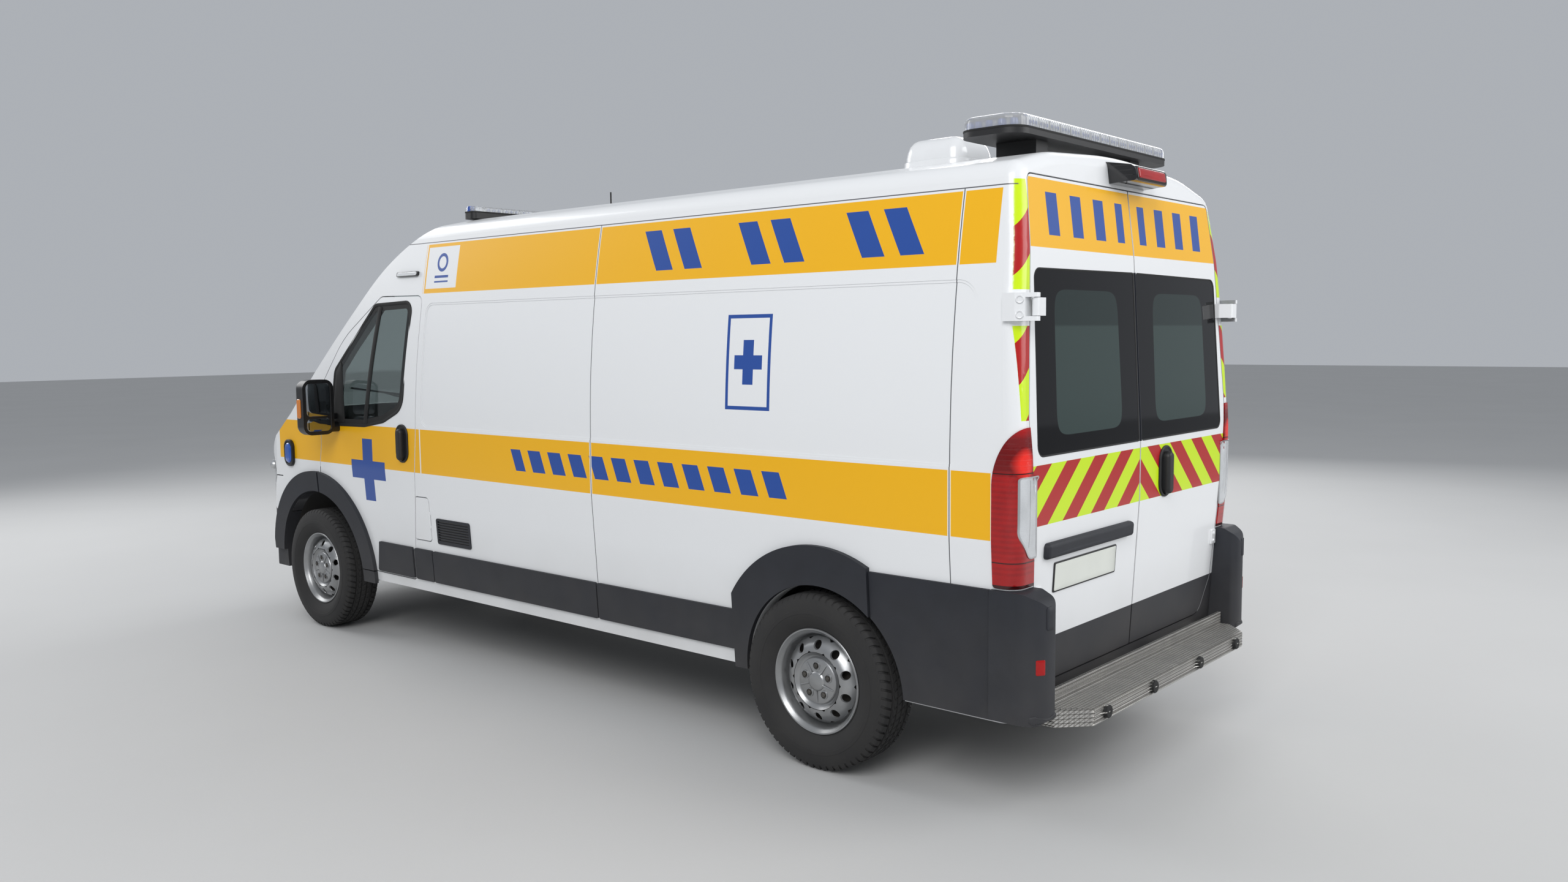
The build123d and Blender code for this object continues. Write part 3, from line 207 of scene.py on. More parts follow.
def bands(look, sides):
    """The yellow bands, cut at the seams, with plain blocks where the photo has lettering."""
    x, z = look.x, look.z
    cuts = at_seams(x, 0.007) | x.near(DOOR_SEAM, 0.005)
    belt = sides & z.within(*BELT) & x.within(st(-845), st(4480))
    crest = sides & z.within(*CREST) & x.within(st(-830), st(2860))
    look.lay(YELLOW, (belt | crest) & ~cuts)

    badge = crest & x.within(st(2545), st(2835)) & z.within(2.083, 2.312)
    look.lay(WHITE, badge)
    bars = x.within(st(2625), st(2755)) & (z.within(2.14, 2.154) | z.within(2.115, 2.124))
    ring = (x - st(2690)) ** 2.0 + (z - 2.225) ** 2.0
    look.lay(BLUE, badge & (bars | ring.within(0.0011, 0.0026, 0.0002)))

    slant = x - z * 0.55
    pairs = slant.wrap(0.455, -0.135)
    pairs = pairs.within(-0.05, 0.245) & ~pairs.within(0.06, 0.135)
    row = crest & z.within(2.105, 2.29) & slant.within(st(-560) - 1.2, st(1290) - 1.2)
    look.lay(BLUE, row & pairs)

    slant = x - z * 0.4
    row = belt & z.within(1.125, 1.235) & slant.within(st(150) - 0.47, st(1990) - 0.47)
    look.lay(BLUE, row & slant.wrap(0.16).within(0.0, 0.1) & ~cuts)


def signs(look, sides):
    """A plain plus on each cab door, and a framed cross on the left side."""
    def patch(station, height, half_x, half_z):
        return look.x.near(st(station), half_x) & look.z.near(height, half_z)

    look.lay(BLUE, sides & (patch(3412, 1.035, 0.055, 0.185) | patch(3412, 1.035, 0.185, 0.055)))
    border = patch(358, 1.692, 0.128, 0.203) & ~patch(358, 1.692, 0.112, 0.187)
    cross = patch(358, 1.692, 0.03, 0.095) | patch(358, 1.692, 0.08, 0.03)
    look.lay(BLUE, sides & (border | cross) & look.y.over(0))


def body_livery(look):
    """The body's bands and signs, the stripes of the rear uprights, the seams, and what is dark."""
    x, y, z = look.x, look.y, look.z
    outwards = look.ny * y.do("SIGN")
    sides = outwards.over(0.6, 0.1)
    bands(look, sides)
    signs(look, sides)
    behind = ~x.over(REAR_CORNER)
    look.lay(DARK, ~z.over(SKIRT) & behind & ~abs(y).over(0.93))
    upright = (z.within(1.49, 1.83) | z.within(1.96, 2.36)) & behind & abs(y).within(0.84, 0.962)
    upright = upright & ~look.nx.over(-0.55, 0.1)
    look.lay(LIME, upright)
    look.lay(RED, upright & stripes(abs(y) + z + z.over(1.9) * -0.07, 2.58, 0.3))
    seams = at_seams(x, 0.0022, 0.001) & z.within(0.6, ROOF_EDGE)
    look.lay((0.1, 0.1, 0.11), sides & (seams | z.near(ROOF_EDGE, 0.0022, 0.001)))
    hidden = ~(look.ny * y).over(0.25) & ~look.nx.over(0.3) | ~abs(y).over(0.87)
    look.lay(DARK, x.within(st(3620), st(4480)) & ~z.over(1.02) & hidden)
    vent = x.within(st(2424), st(2733)) & z.within(0.663, 0.802)
    look.lay((0.006, 0.006, 0.007), sides & y.over(0) & vent)
    look.lay(INNER_SKIN, ~outwards.over(-0.5, 0.1))


def rear_door_livery(look):
    """The rear doors' yellow band with upright blocks, the red and lime belt and the dark skirt."""
    y, z = abs(look.y), look.z
    back = ~look.nx.over(-0.55, 0.1)
    above_skirt = z.over(SKIRT)
    look.lay(YELLOW, back & z.within(2.117, 2.372))
    blocks = y.wrap(0.19).within(0.05, 0.135) & y.within(0.07, 0.72)
    look.lay(BLUE, back & blocks & z.within(2.165, 2.325))
    belt = back & z.within(1.097, 1.322)
    look.lay(LIME, belt)
    look.lay(RED, belt & stripes(y * 0.87 + z, 1.18, 0.2))
    between_glasses = ~y.over(0.0125) & z.within(1.35, 2.048)
    look.lay(DARK, ~above_skirt | between_glasses)
    look.set("Coat Weight", (~back | above_skirt) * 0.35)
    look.set("Roughness", above_skirt.do("MULTIPLY_ADD", -0.2, 0.52))
    look.lay((0.16, 0.165, 0.17), look.nx.over(0.5, 0.1) & ~above_skirt)
    look.lay(INNER_SKIN, look.nx.over(0.6, 0.1))


def paint(name, livery):
    look = Look(name, WHITE, 0.34, Coat_Weight=0.35, Coat_Roughness=0.05, Specular_IOR_Level=0.35)
    livery(look)
    look.lay(DIRT, look.noise(3.0, 6.0) * ~look.z.over(0.62, 0.45) * 0.35)
    look.bump(look.noise(220.0, 2.0), 0.0004, 0.06)
    return look.done()


def plain(name, slot, color, rough, metal=0.0, grain=300.0, depth=0.0006, vary=0.25, dust=0.0, **sockets):
    """A material with fine grain, uneven colour and some dust near the ground."""
    look = Look(name, color, rough, metal, **sockets)
    look.lay(tuple(c * (1 - vary) for c in color), look.noise(9.0, 5.0).over(0.5, 0.5))
    if dust:
        look.lay((0.22, 0.2, 0.17), look.noise(5.0, 6.0) * ~look.z.over(0.55, 0.6) * dust)
    look.bump(look.noise(grain, 3.0), depth, 0.5)
    return look.done()


def tyre_look():
    look = Look("tyre_rubber", (0.013, 0.013, 0.014), 0.78)
    look.lay((0.044, 0.041, 0.037), look.noise(6.0, 6.0) * 0.5)
    look.bump(look.noise(500.0, 3.0), 0.0006, 0.5)
    return look.done()


def tread_look():
    """Chequered bright metal: raised bars that lie across each other."""
    look = Look("treadplate", (0.58, 0.57, 0.54), 0.36, 0.75)
    rows = (look.x + look.z).wrap(0.0145).over(0.0095, 0.002)
    dots = look.y.wrap(0.0145).over(0.0105, 0.002)
    look.lay((0.2, 0.19, 0.175), rows | dots * 0.6)
    u, v = (look.x + look.y).wrap(0.03), (look.x - look.y).wrap(0.03)
    one = u.within(0.004, 0.011, 0.003) & v.within(0.001, 0.027, 0.003)
    two = v.within(0.018, 0.025, 0.003) & u.within(0.013, 0.029, 0.003)
    top = abs(look.nz).over(0.5, 0.2)
    ridges = look.z.wrap(0.016).within(0.003, 0.009, 0.004) & ~top
    look.bump((one | two) & top | ridges, 0.0035)
    look.lay((0.3, 0.29, 0.28), look.noise(7.0, 6.0).over(0.55, 0.3) * 0.5)
    look.set("Roughness", look.noise(25.0, 4.0).do("MULTIPLY_ADD", 0.3, 0.2))
    return look.done()


def glass_look(name, tint, rough=0.02, clearness=1.0, rib=None):
    """Clear glass, or a lens with upright ribs."""
    look = Look(name, tint, rough, Transmission_Weight=clearness, IOR=1.45)
    look.bump(look.noise(2.0, 2.0), 0.002, 0.04)
    if rib:
        look.bump(look.y.wrap(rib).over(rib / 2, 0.006), 0.002, 0.6)
    return look.done()


def rear_glass_look():
    """Black border with a frosted darker light in the middle of each door's glass."""
    look = Look("rear_glass", (0.004, 0.004, 0.005), 0.07, Specular_IOR_Level=0.24)
    u, up = abs(look.y), look.z - 1.42
    edge = (u - 0.16 - up * 0.0147) & (up * -0.035 - u + 0.708)
    rise = up & (look.z * -1.0 + 1.966)
    pane = edge.do("SMOOTH_MIN", rise, 0.12).over(0.0, 0.002)
    look.lay((0.018, 0.028, 0.027), pane)
    frost = pane & ~look.z.over(1.83, 0.01)
    look.lay((0.034, 0.052, 0.049), frost)
    look.set("Roughness", frost.do("MULTIPLY_ADD", 0.12, 0.05))
    look.bump(look.noise(2.0, 2.0), 0.002, 0.05)
    return look.done()


def lamp_look():
    """Red lamp with ribs inside, dark lines across, a bulb's glow, and a dark pod above."""
    look = Look("tail_lamp", (0.33, 0.001, 0.002), 0.08, Coat_Weight=0.5, Coat_Roughness=0.02,
                Specular_IOR_Level=0.35)
    y, z = abs(look.y), look.z
    ribs = z.wrap(0.02).over(0.01, 0.004)
    look.lay((0.2, 0.0, 0.002), (ribs & z.within(0.93, 1.4)) * 0.45)
    look.lay((0.5, 0.004, 0.004), look.noise(14.0, 3.0).over(0.5, 0.3) * 0.35)
    look.lay((0.1, 0.002, 0.003), z.within(1.302, 1.44, 0.03) * 0.75)
    glow = ((z - 1.335) * 14.0) ** 2.0 + ((y - 0.952) * 18.0) ** 2.0
    look.lay((0.85, 0.03, 0.02), ~glow.over(0.5, 0.6))
    lines = z.near(1.301, 0.0022) | z.near(0.975, 0.0022)
    look.lay((0.035, 0.0, 0.0), lines | ~z.within(0.892, 1.47))
    look.lay((0.01, 0.01, 0.011), z.over(2.2))
    look.bump(ribs, 0.001, 0.4)
    return look.done()


PAINT = paint("coach_paint", body_livery)
PAINT_REAR = paint("coach_paint_rear", rear_door_livery)
PAINT_PLAIN = plain("white_paint", "paint", WHITE, 0.32, grain=220.0, depth=0.0002, vary=0.04,
                    Coat_Weight=0.85, Coat_Roughness=0.05)
PLASTIC = plain("grained_plastic", "dark_plastic", DARK, 0.6, grain=900.0, depth=0.0008, dust=0.22)
BLACK = plain("black_plastic", "dark_plastic", (0.008, 0.008, 0.009), 0.35, grain=700.0, depth=0.0003)
SATIN = plain("satin_black", "dark_plastic", (0.012, 0.012, 0.013), 0.5, grain=400.0)
RUBBER = plain("seal_rubber", "dark_plastic", (0.01, 0.01, 0.01), 0.75, grain=500.0)
STEEL = plain("chassis_steel", "chassis_metal", (0.035, 0.034, 0.034), 0.6, 0.4, grain=120.0,
              depth=0.001, dust=0.7)
SILVER = plain("silver_steel", "rim", (0.42, 0.43, 0.44), 0.34, 0.85, grain=600.0, depth=0.0002, dust=0.35)
BRIGHT = plain("bright_metal", "clear_lens", (0.7, 0.71, 0.72), 0.28, 1.0, grain=300.0, depth=0.0002)
TRIM = plain("cab_trim", "interior", (0.06, 0.062, 0.068), 0.6, grain=800.0, depth=0.0008)
PALE = plain("pale_panel", "interior", (0.52, 0.54, 0.55), 0.5, grain=500.0, depth=0.0003)
COVER = plain("floor_covering", "floor_cover", (0.13, 0.14, 0.15), 0.75, grain=1200.0, depth=0.0006)
CLOTH = plain("seat_cloth", "seat_fabric", (0.055, 0.058, 0.066), 0.95, grain=1500.0, depth=0.0012,
              vary=0.3, Sheen_Weight=0.4)
TYRE = tyre_look()
TREAD = tread_look()
TAIL = lamp_look()
REAR_GLASS = rear_glass_look()
GLASS = glass_look("tinted_glass", (0.42, 0.47, 0.46))
SCREEN = glass_look("screen_glass", (0.72, 0.8, 0.78))
LENS = glass_look("clear_lens", (0.9, 0.93, 0.95), 0.04)
RIBBED = glass_look("ribbed_lens", (0.93, 0.95, 0.97), 0.1, 0.7, rib=0.018)
PRIVACY = plain("privacy_glass", "glass", (0.006, 0.007, 0.008), 0.05, grain=2.0, depth=0.002,
                Coat_Weight=0.6)
MIRROR = plain("mirror_glass", "glass", (0.3, 0.32, 0.34), 0.03, 1.0, grain=2.0, depth=0.0005)
AMBER = plain("amber_lens", "clear_lens", (0.75, 0.22, 0.01), 0.15, grain=120.0, depth=0.001, Coat_Weight=1.0)
INSERT = plain("frosted_lens", "clear_lens", (0.62, 0.64, 0.66), 0.16, grain=180.0, depth=0.002,
               vary=0.3, Coat_Weight=1.0)
BLUE_GLOW = plain("blue_lights", "clear_lens", (0.04, 0.1, 0.4), 0.2, grain=200.0, depth=0.0005,
                  Coat_Weight=0.6)
BLUE_LENS = plain("blue_lens", "clear_lens", (0.01, 0.1, 0.5), 0.12, grain=120.0, depth=0.001,
                  Coat_Weight=1.0)
RED_LENS = plain("red_lens", "red_lens", (0.4, 0.003, 0.003), 0.16, grain=150.0, depth=0.001,
                 Coat_Weight=0.3, Specular_IOR_Level=0.3)
PLATE = plain("blank_plate", "paint", (0.74, 0.76, 0.7), 0.35, grain=900.0, depth=0.0002, vary=0.05,
              Coat_Weight=0.3)

# A star stands for the left and the right one.
FINISHES = {
    PAINT: "body_side_* sliding_door roof rear_portal cab_frame wings hood door_* fuel_flap",
    PAINT_REAR: "rear_door_*",
    PLASTIC: "arch_flares side_mouldings rear_bumper front_bumper door_cladding_*",
    BLACK: "mirror_* grille side_flashers",
    SATIN: "roof_fittings front_carrier",
    STEEL: "chassis engine rear_axle front_suspension fuel_tank exhaust wheel_tubs knuckle_*",
    TRIM: "dashboard steering_wheel seat_bases",
    PALE: "bulkhead",
    COVER: "load_floor cab_floor",
    GLASS: "door_glass_*",
    SCREEN: "windscreen",
    PRIVACY: "sliding_door_glass",
    REAR_GLASS: "rear_glass_*",
    TAIL: "tail_lamps",
    LENS: "headlamps",
    RIBBED: "lightbar_lenses",
    TREAD: "rear_step",
    TYRE: "spare_wheel tyre_front_* tyre_rear_*",
    SILVER: "rim_front_* rim_rear_*",
}


def wear(node, look):
    """Gives a carried-over CAD node its finish, with its mesh left alone."""
    obj = nodes[node]
    if not obj.material_slots:
        obj.data.materials.append(look)
    for holder in obj.material_slots:
        holder.link = "OBJECT"
        holder.material = look


for look, names in FINISHES.items():
    for name in names.split():
        for hand, side in SIDES if "*" in name else SIDES[:1]:
            wear(name.replace("*", hand), look)


class Onto:
    """Places points given in mm on the outside of some CAD nodes, met along an axis from one side."""
    def __init__(self, axis, side, names):
        verts, faces = [], []
        for name in names:
            obj, base = nodes[name], len(verts)
            verts += [obj.matrix_world @ v.co for v in obj.data.vertices]
            faces += [[base + i for i in p.vertices] for p in obj.data.polygons]
        self.tree = BVHTree.FromPolygons(verts, faces)
        self.axis, self.side, self.last = axis, side, 0.0

    def __call__(self, a, b, height=0.0):
        start = (mm(0, a, b), mm(a, 0, b), mm(a, b, 0))[self.axis]
        way = Vector((0, 0, 0))
        start[self.axis] = self.side * 8
        way[self.axis] = -self.side
        hit = self.tree.ray_cast(start, way)[0]
        if hit is None:
            hit = start
            hit[self.axis] = self.last
        self.last = hit[self.axis]
        return hit - way * (height / 1000)


def on_side(side, *names):
    """Takes a station, a height and a height over the skin."""
    return Onto(Y_AXIS, side, names)


def on_end(end, *names):
    """Takes Y, Z and a height over the skin of the front (1) or the back (-1)."""
    return Onto(X_AXIS, end, names)


def level(x, y, z):
    """Places points in mm from a spot, with the height upwards."""
    return lambda a, b, h=0.0: mm(x + a, y + b, z + h)


def rounded(outline, steps=5):
    """The points of an outline given as (a, b, corner radius)."""
    points, size = [], len(outline)
    for i, (a, b, r) in enumerate(outline):
        here = Vector((a, b))
        if not r:
            points.append(here)
            continue
        back = (Vector(outline[i - 1][:2]) - here).normalized()
        fore = (Vector(outline[(i + 1) % size][:2]) - here).normalized()
        half = acos(max(-1, min(1, back.dot(fore)))) / 2
        reach, middle = r / tan(half), (back + fore).normalized() * (r / sin(half))
        first, last = back * reach - middle, fore * reach - middle
        sweep = first.angle_signed(last)
        for k in range(steps + 1):
            points.append(here + middle + (Matrix.Rotation(-sweep * k / steps, 2) @ first))
    return points


def box(a0, b0, a1, b1, r):
    """The outline of a box with rounded corners."""
    return [(a0, b0, r), (a1, b0, r), (a1, b1, r), (a0, b1, r)]


def mirror_y(outline, side):
    return [(a * side, *rest) for a, *rest in outline]


def slab(half, low, high, taper=0):
    """The section of a flat strip."""
    return [(-half, low), (taper - half, high), (half - taper, high), (half, low)]


def line_of(start, end, count):
    start, end = Vector(start), Vector(end)
    return [start.lerp(end, i / (count - 1)) for i in range(count)]


def shrunk(points, amount):
    """The points moved inwards by an amount, each along its own corner's middle line."""
    size = len(points)
    area = sum(points[i - 1].cross(points[i]) for i in range(size))
    turn, moved = (1 if area > 0 else -1), []
    for i, p in enumerate(points):
        along = (points[(i + 1) % size] - points[i - 1]).normalized()
        moved.append(p + Vector((-along.y, along.x)) * turn * amount)
    return moved


def split_long(points, longest, whole=ceil):
    """The points of a closed outline with its long sides split up."""
    out = []
    for i, p in enumerate(points):
        q = points[(i + 1) % len(points)]
        parts = max(1, whole((q - p).length / longest))
        out += [p.lerp(q, k / parts) for k in range(parts)]
    return out


def circle(count, first=0.0):
    return [first + 2 * pi * i / count for i in range(count)]


def ring_of(bm, points):
    return [bm.verts.new(p) for p in points]


def bridge(bm, one, two, closed=True):
    size = len(one)
    for i in range(size if closed else size - 1):
        j = (i + 1) % size
        bm.faces.new((one[i], one[j], two[j], two[i]))


def joined(bm, rings):
    for one, two in zip(rings, rings[1:]):
        bridge(bm, one, two)


def tube(bm, rings):
    """Joins rings one after another, with a face over each end."""
    joined(bm, rings)
    bm.faces.new(rings[0])
    bm.faces.new(reversed(rings[-1]))


def dome(bm, outline, place, levels, steps=5, fine=None):
    """A plate on a surface: rings at (amount inwards, height), closed over the last one."""
    points = rounded(outline, steps)
    if fine:
        points = split_long(points, fine)
    rings = [ring_of(bm, [place(p.x, p.y, h) for p in shrunk(points, amount)]) for amount, h in levels]
    joined(bm, rings)
    middle = sum(points, Vector((0, 0))) / len(points)
    inset, height = levels[-1]
    inner = shrunk(points, inset)
    for share in [k / 10 for k in range(9, 0, -1)] if fine else (0.66, 0.33):
        rings.append(ring_of(bm, [place(*(middle + (p - middle) * share), height) for p in inner]))
        bridge(bm, rings[-2], rings[-1])
    centre = bm.verts.new(place(middle.x, middle.y, height))
    for i in range(len(points)):
        bm.faces.new((rings[-1][i], rings[-1][(i + 1) % len(points)], centre))


def strip(bm, path, place, section, closed=False):
    """A strip along a path on a surface; its section is a list of (across, height)."""
    path, size, rings = [Vector(p[:2]) for p in path], len(path), []
    for i, p in enumerate(path):
        before = path[i - 1] if closed or i else p
        after = path[(i + 1) % size] if closed or i < size - 1 else p
        along = (after - before).normalized()
        side = Vector((-along.y, along.x))
        rings.append(ring_of(bm, [place(*(p + side * a), h) for a, h in section]))
    for i in range(size if closed else size - 1):
        bridge(bm, rings[i], rings[(i + 1) % size], closed=False)
    if not closed:
        bm.faces.new(rings[0])
        bm.faces.new(reversed(rings[-1]))


def turned(bm, profile, centre, axis, count=48):
    """A profile of (radius, height) in mm turned about an axis."""
    centre, axis = Vector(centre), Vector(axis).normalized()
    u = axis.orthogonal().normalized()
    v, rings = axis.cross(u), []
    for r, h in profile:
        spot = centre + axis * h / 1000
        angles = circle(count) if r else [0]
        rings.append(ring_of(bm, [spot + (u * cos(t) + v * sin(t)) * r / 1000 for t in angles]))
    for one, two in zip(rings, rings[1:]):
        if len(one) == 1 or len(two) == 1:
            tip, ring = (one[0], two) if len(one) == 1 else (two[0], one)
            for i in range(len(ring)):
                bm.faces.new((ring[i], ring[(i + 1) % len(ring)], tip))
        else:
            bridge(bm, one, two)


def pipe(bm, points, radius, count=10):
    """A round rod along points in space, its radius in mm."""
    points, rings, side = [Vector(p) for p in points], [], None
    for i, p in enumerate(points):
        along = (points[min(i + 1, len(points) - 1)] - points[max(i - 1, 0)]).normalized()
        side = (side - along * side.dot(along)).normalized() if side else along.orthogonal().normalized()
        up = along.cross(side)
        rings.append(ring_of(bm, [p + (side * cos(t) + up * sin(t)) * radius / 1000
                                  for t in circle(count)]))
    tube(bm, rings)


def block(bm, low, high, bevel):
    """A box with bevelled edges."""
    low, high = Vector(low), Vector(high)
    place = Matrix.Translation((low + high) / 2) @ Matrix.Diagonal((*(high - low), 1))
    made = bmesh.ops.create_cube(bm, size=1.0, matrix=place)
    edges = list({e for v in made["verts"] for e in v.link_edges})
    bmesh.ops.bevel(bm, geom=edges, offset=bevel, segments=2, profile=0.6, affect="EDGES")


def placed(name, data):
    """A new object in the scene."""
    obj = bpy.data.objects.new(name, data)
    scene.collection.objects.link(obj)
    return obj


def piece(name, bm, look, body="root", sharp=35):
    """Turns what was built into one piece that rides on a body."""
    bmesh.ops.recalc_face_normals(bm, faces=bm.faces)
    mesh = bpy.data.meshes.new(name)
    bm.to_mesh(mesh)
    bm.free()
    mesh.polygons.foreach_set("use_smooth", [True] * len(mesh.polygons))
    mesh.set_sharp_from_angle(angle=radians(sharp))
    mesh.materials.append(look)
    obj = placed(name, mesh)
    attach(obj, body)
    return obj


def plates(name, look, body, place, *shapes, steps=5):
    """One piece of raised plates on a surface, each given by an outline and its levels."""
    bm = bmesh.new()
    for outline, levels in shapes:
        dome(bm, outline, place, levels, steps)
    return piece(name, bm, look, body)


# Wheels. Half of a tyre: place across from its middle, radius, and depth of the cuts in its tread.
TYRE_SHAPE = [(76, 207, 0), (79, 221, 0), (84, 228, 0), (93, 241, 0), (104, 260, 0), (110, 278, 0),
              (111, 286, 0), (112.2, 287, 0), (112.2, 303, 0), (111, 304, 0), (109.5, 322, 0), (106, 338, 0),
              (101.5, 350, 1), (99, 355, 5), (96, 361, 7), (92, 366.5, 7), (87, 369.5, 7), (60, 371.2, 7),
              (58, 363.5, 0), (51, 363.5, 0), (49, 371.6, 3), (36, 371.7, 3), (22, 371.8, 3),
              (20.5, 363.5, 0), (14, 363.5, 0), (12.5, 371.8, 3)]
TREAD_BLOCKS = 64
BLOCK_STEPS = ((0.0, 0), (0.7, 0), (0.74, 1), (0.96, 1))  # share of a block, and of the cut's depth

# Rims and caps: radius and height outwards from the wheel's middle.
BARREL = [(214, -84), (222, -85), (222, -78), (206, -76), (200, -60), (198, 40), (203, 62), (209, 72),
          (214, 78), (222, 80), (223.5, 84), (221, 87), (216, 86), (211, 80), (205, 74), (199, 66), (196, 40),
          (192, 24), (187, 30), (182, 42)]
DISC = [(120, 79.5), (115, 75), (110, 69), (104, 66), (97, 65)]
CAP = [(97, 65), (98, 71), (95, 75), (88, 77), (50, 77.5), (42, 78), (38, 84), (32, 86.5), (0, 87)]
CAP_FIN = [(36, 84), (50, 79.5), (78, 78.5), (90, 77)]
BOLT_SEAT = [(19, 76), (18.5, 80.5), (15, 81.5), (14, 79)]
BOLT = [(14.2, 78.5), (9.5, 78.3), (9.5, 84.5), (8, 86), (0, 86.2)]
BRAKE = [(150, -20), (150, 12), (135, 16), (60, 16), (60, -20)]
BRAKE_SHIELD = [(196, 0), (196, 10), (60, 12)]
VENTS, VENT_CIRCLE, VENT_BAND = 10, 152, 30
BOLTS, BOLT_CIRCLE, BOLT_TURN = 5, 65, 0.3


def tyre(end, side, centre):
    """A tyre whose tread blocks lean, cut ring by ring."""
    shape = TYRE_SHAPE + [(-w, r, d) for w, r, d in reversed(TYRE_SHAPE)]
    bm, rings = bmesh.new(), []
    for number in range(TREAD_BLOCKS):
        for share, cut in BLOCK_STEPS:
            ring = []
            for w, r, depth in shape:
                lean = w * 0.0011 * (1 if abs(w) > 40 else -1.2) if depth else 0
                angle = 2 * pi * (number + share) / TREAD_BLOCKS + lean
                reach = r - depth * cut
                ring.append(centre + Vector((sin(angle) * reach, w * side, cos(angle) * reach)) / 1000)
            rings.append(ring_of(bm, ring))
    for i in range(len(rings)):
        bridge(bm, rings[i - 1], rings[i], closed=False)
    obj = piece(f"tyre_tread_{end}", bm, TYRE, f"wheel_{end}", sharp=28)
    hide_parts(f"tyre_{end}")


def disc_height(radius):
    """How far outwards the vented part of the disc lies."""
    share = (radius - VENT_CIRCLE + VENT_BAND) / (2 * VENT_BAND)
    return 80 - 38 * share ** 2.2


def rim(end, side, centre):
    """A pressed disc with round vents in its barrel, a cap with bolts, and the brake behind."""
    axis, body = (0, side, 0), f"wheel_{end}"

    def at(angle, radius, height=0):
        return centre + Vector((cos(angle) * radius, side * height, sin(angle) * radius)) / 1000

    bm = bmesh.new()
    for profile in (BARREL, DISC):
        turned(bm, profile, centre, axis, 96)
    for middle in circle(VENTS, pi / VENTS):
        edge, hole, wall = [], [], []
        for t in circle(24, pi / 24):
            u, v = cos(t), sin(t)
            big = max(abs(u), abs(v))
            for ring, radius, angle, drop in (
                    (edge, VENT_CIRCLE + u / big * VENT_BAND, v / big * pi / VENTS, 0),
                    (hole, VENT_CIRCLE + 19 * u, 19 * v / VENT_CIRCLE, 0),
                    (wall, VENT_CIRCLE + 16.5 * u, 16.5 * v / VENT_CIRCLE, 7)):
                ring.append(bm.verts.new(at(middle + angle, radius, disc_height(radius) - drop)))
        bridge(bm, edge, hole)
        bridge(bm, hole, wall)
    bmesh.ops.remove_doubles(bm, verts=bm.verts, dist=0.0008)
    obj = piece(f"wheel_disc_{end}", bm, SILVER, body, sharp=32)
    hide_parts(f"rim_{end}")

    cap, bolts, brake = bmesh.new(), bmesh.new(), bmesh.new()
    turned(cap, CAP, centre, axis, 60)
    for angle in circle(BOLTS, BOLT_TURN):
        spot = at(angle, BOLT_CIRCLE)
        turned(cap, BOLT_SEAT, spot, axis, 24)
        turned(bolts, BOLT, spot, axis, 6)
        pipe(cap, [at(angle + pi / BOLTS, r, h) for r, h in CAP_FIN], 3.5, 8)
    for profile in (BRAKE, BRAKE_SHIELD):
        turned(brake, profile, centre, axis)
    piece(f"hub_cap_{end}", cap, SILVER, body)
    piece(f"wheel_bolts_{end}", bolts, STEEL, body)
    piece(f"brake_{end}", brake, STEEL, body)


for end, station, half_track in AXLES:
    for hand, side in SIDES:
        centre = mm(station, side * half_track, HUB_HEIGHT)
        tyre(f"{end}_{hand}", side, centre)
        rim(f"{end}_{hand}", side, centre)

# Cab doors: window rubbers, a divider bar, the mirror's sail, handles, mirror glass and inner cards.
DOOR_WINDOW = [(2968, 2002, 45), (3036, 1420, 110), (3230, 1343, 150), (3431, 1312, 150), (3800, 1306, 40),
               (3748, 1613, 60), (3335, 1992, 40)]
MIRROR_SAIL = [(3655, 1305, 12), (3802, 1304, 20), (3752, 1612, 20), (3688, 1680, 10)]
DOOR_CARD = [(3010, 600, 60), (3010, 1270, 40), (3840, 1270, 60), (3840, 930, 120), (3640, 760, 120),
             (3560, 600, 60)]
WINDOW_RUBBER = [(-9, -2.0), (-9, 2.4), (-6, 3.4), (6, 3.4), (9, 2.4), (9, -1)]
DIVIDER = [(-19, -2), (-19, 3), (-12, 6), (12, 6), (19, 3), (19, -2)]


def handle(name, body, place, a, b, half_w, half_h):
    """An upright grip with a lock below it, in an oval bowl."""
    grip = half_w * 0.4
    bm = bmesh.new()
    dome(bm, box(a - half_w, b - half_h, a + half_w, b + half_h, half_w * 0.98), place,
         [(0, -3), (0, 5), (3, 8), (8, 8), (13, 3), (22, 1.5)], 8)
    dome(bm, box(a - grip, b - half_h + 14, a + grip, b + half_h - 26, grip * 0.95), place,
         [(0, 0.5), (-0.5, 16), (1.5, 26), (6, 31), (11, 33)], 8)
    lock = box(a - 11, b - half_h + 10, a + 11, b - half_h + 32, 10.5)
    dome(bm, lock, place, [(0, 2), (0, 9), (3, 11)], 6)
    piece(name, bm, SATIN, body)


def door_window(hand, side):
    glazed = on_side(side, f"door_{hand}", f"door_glass_{hand}")
    edge = shrunk(rounded(DOOR_WINDOW, 7), -14)
    bm = bmesh.new()
    strip(bm, edge, glazed, WINDOW_RUBBER, closed=True)
    strip(bm, shrunk(edge, 22), glazed, slab(14, 0, 0.8), closed=True)
    strip(bm, line_of((3282, 1995), (3424, 1312), 14), glazed, DIVIDER)
    dome(bm, MIRROR_SAIL, glazed, [(0, -2), (0, 3), (6, 5)])
    piece(f"window_rubber_{hand}", bm, RUBBER, f"door_{hand}")


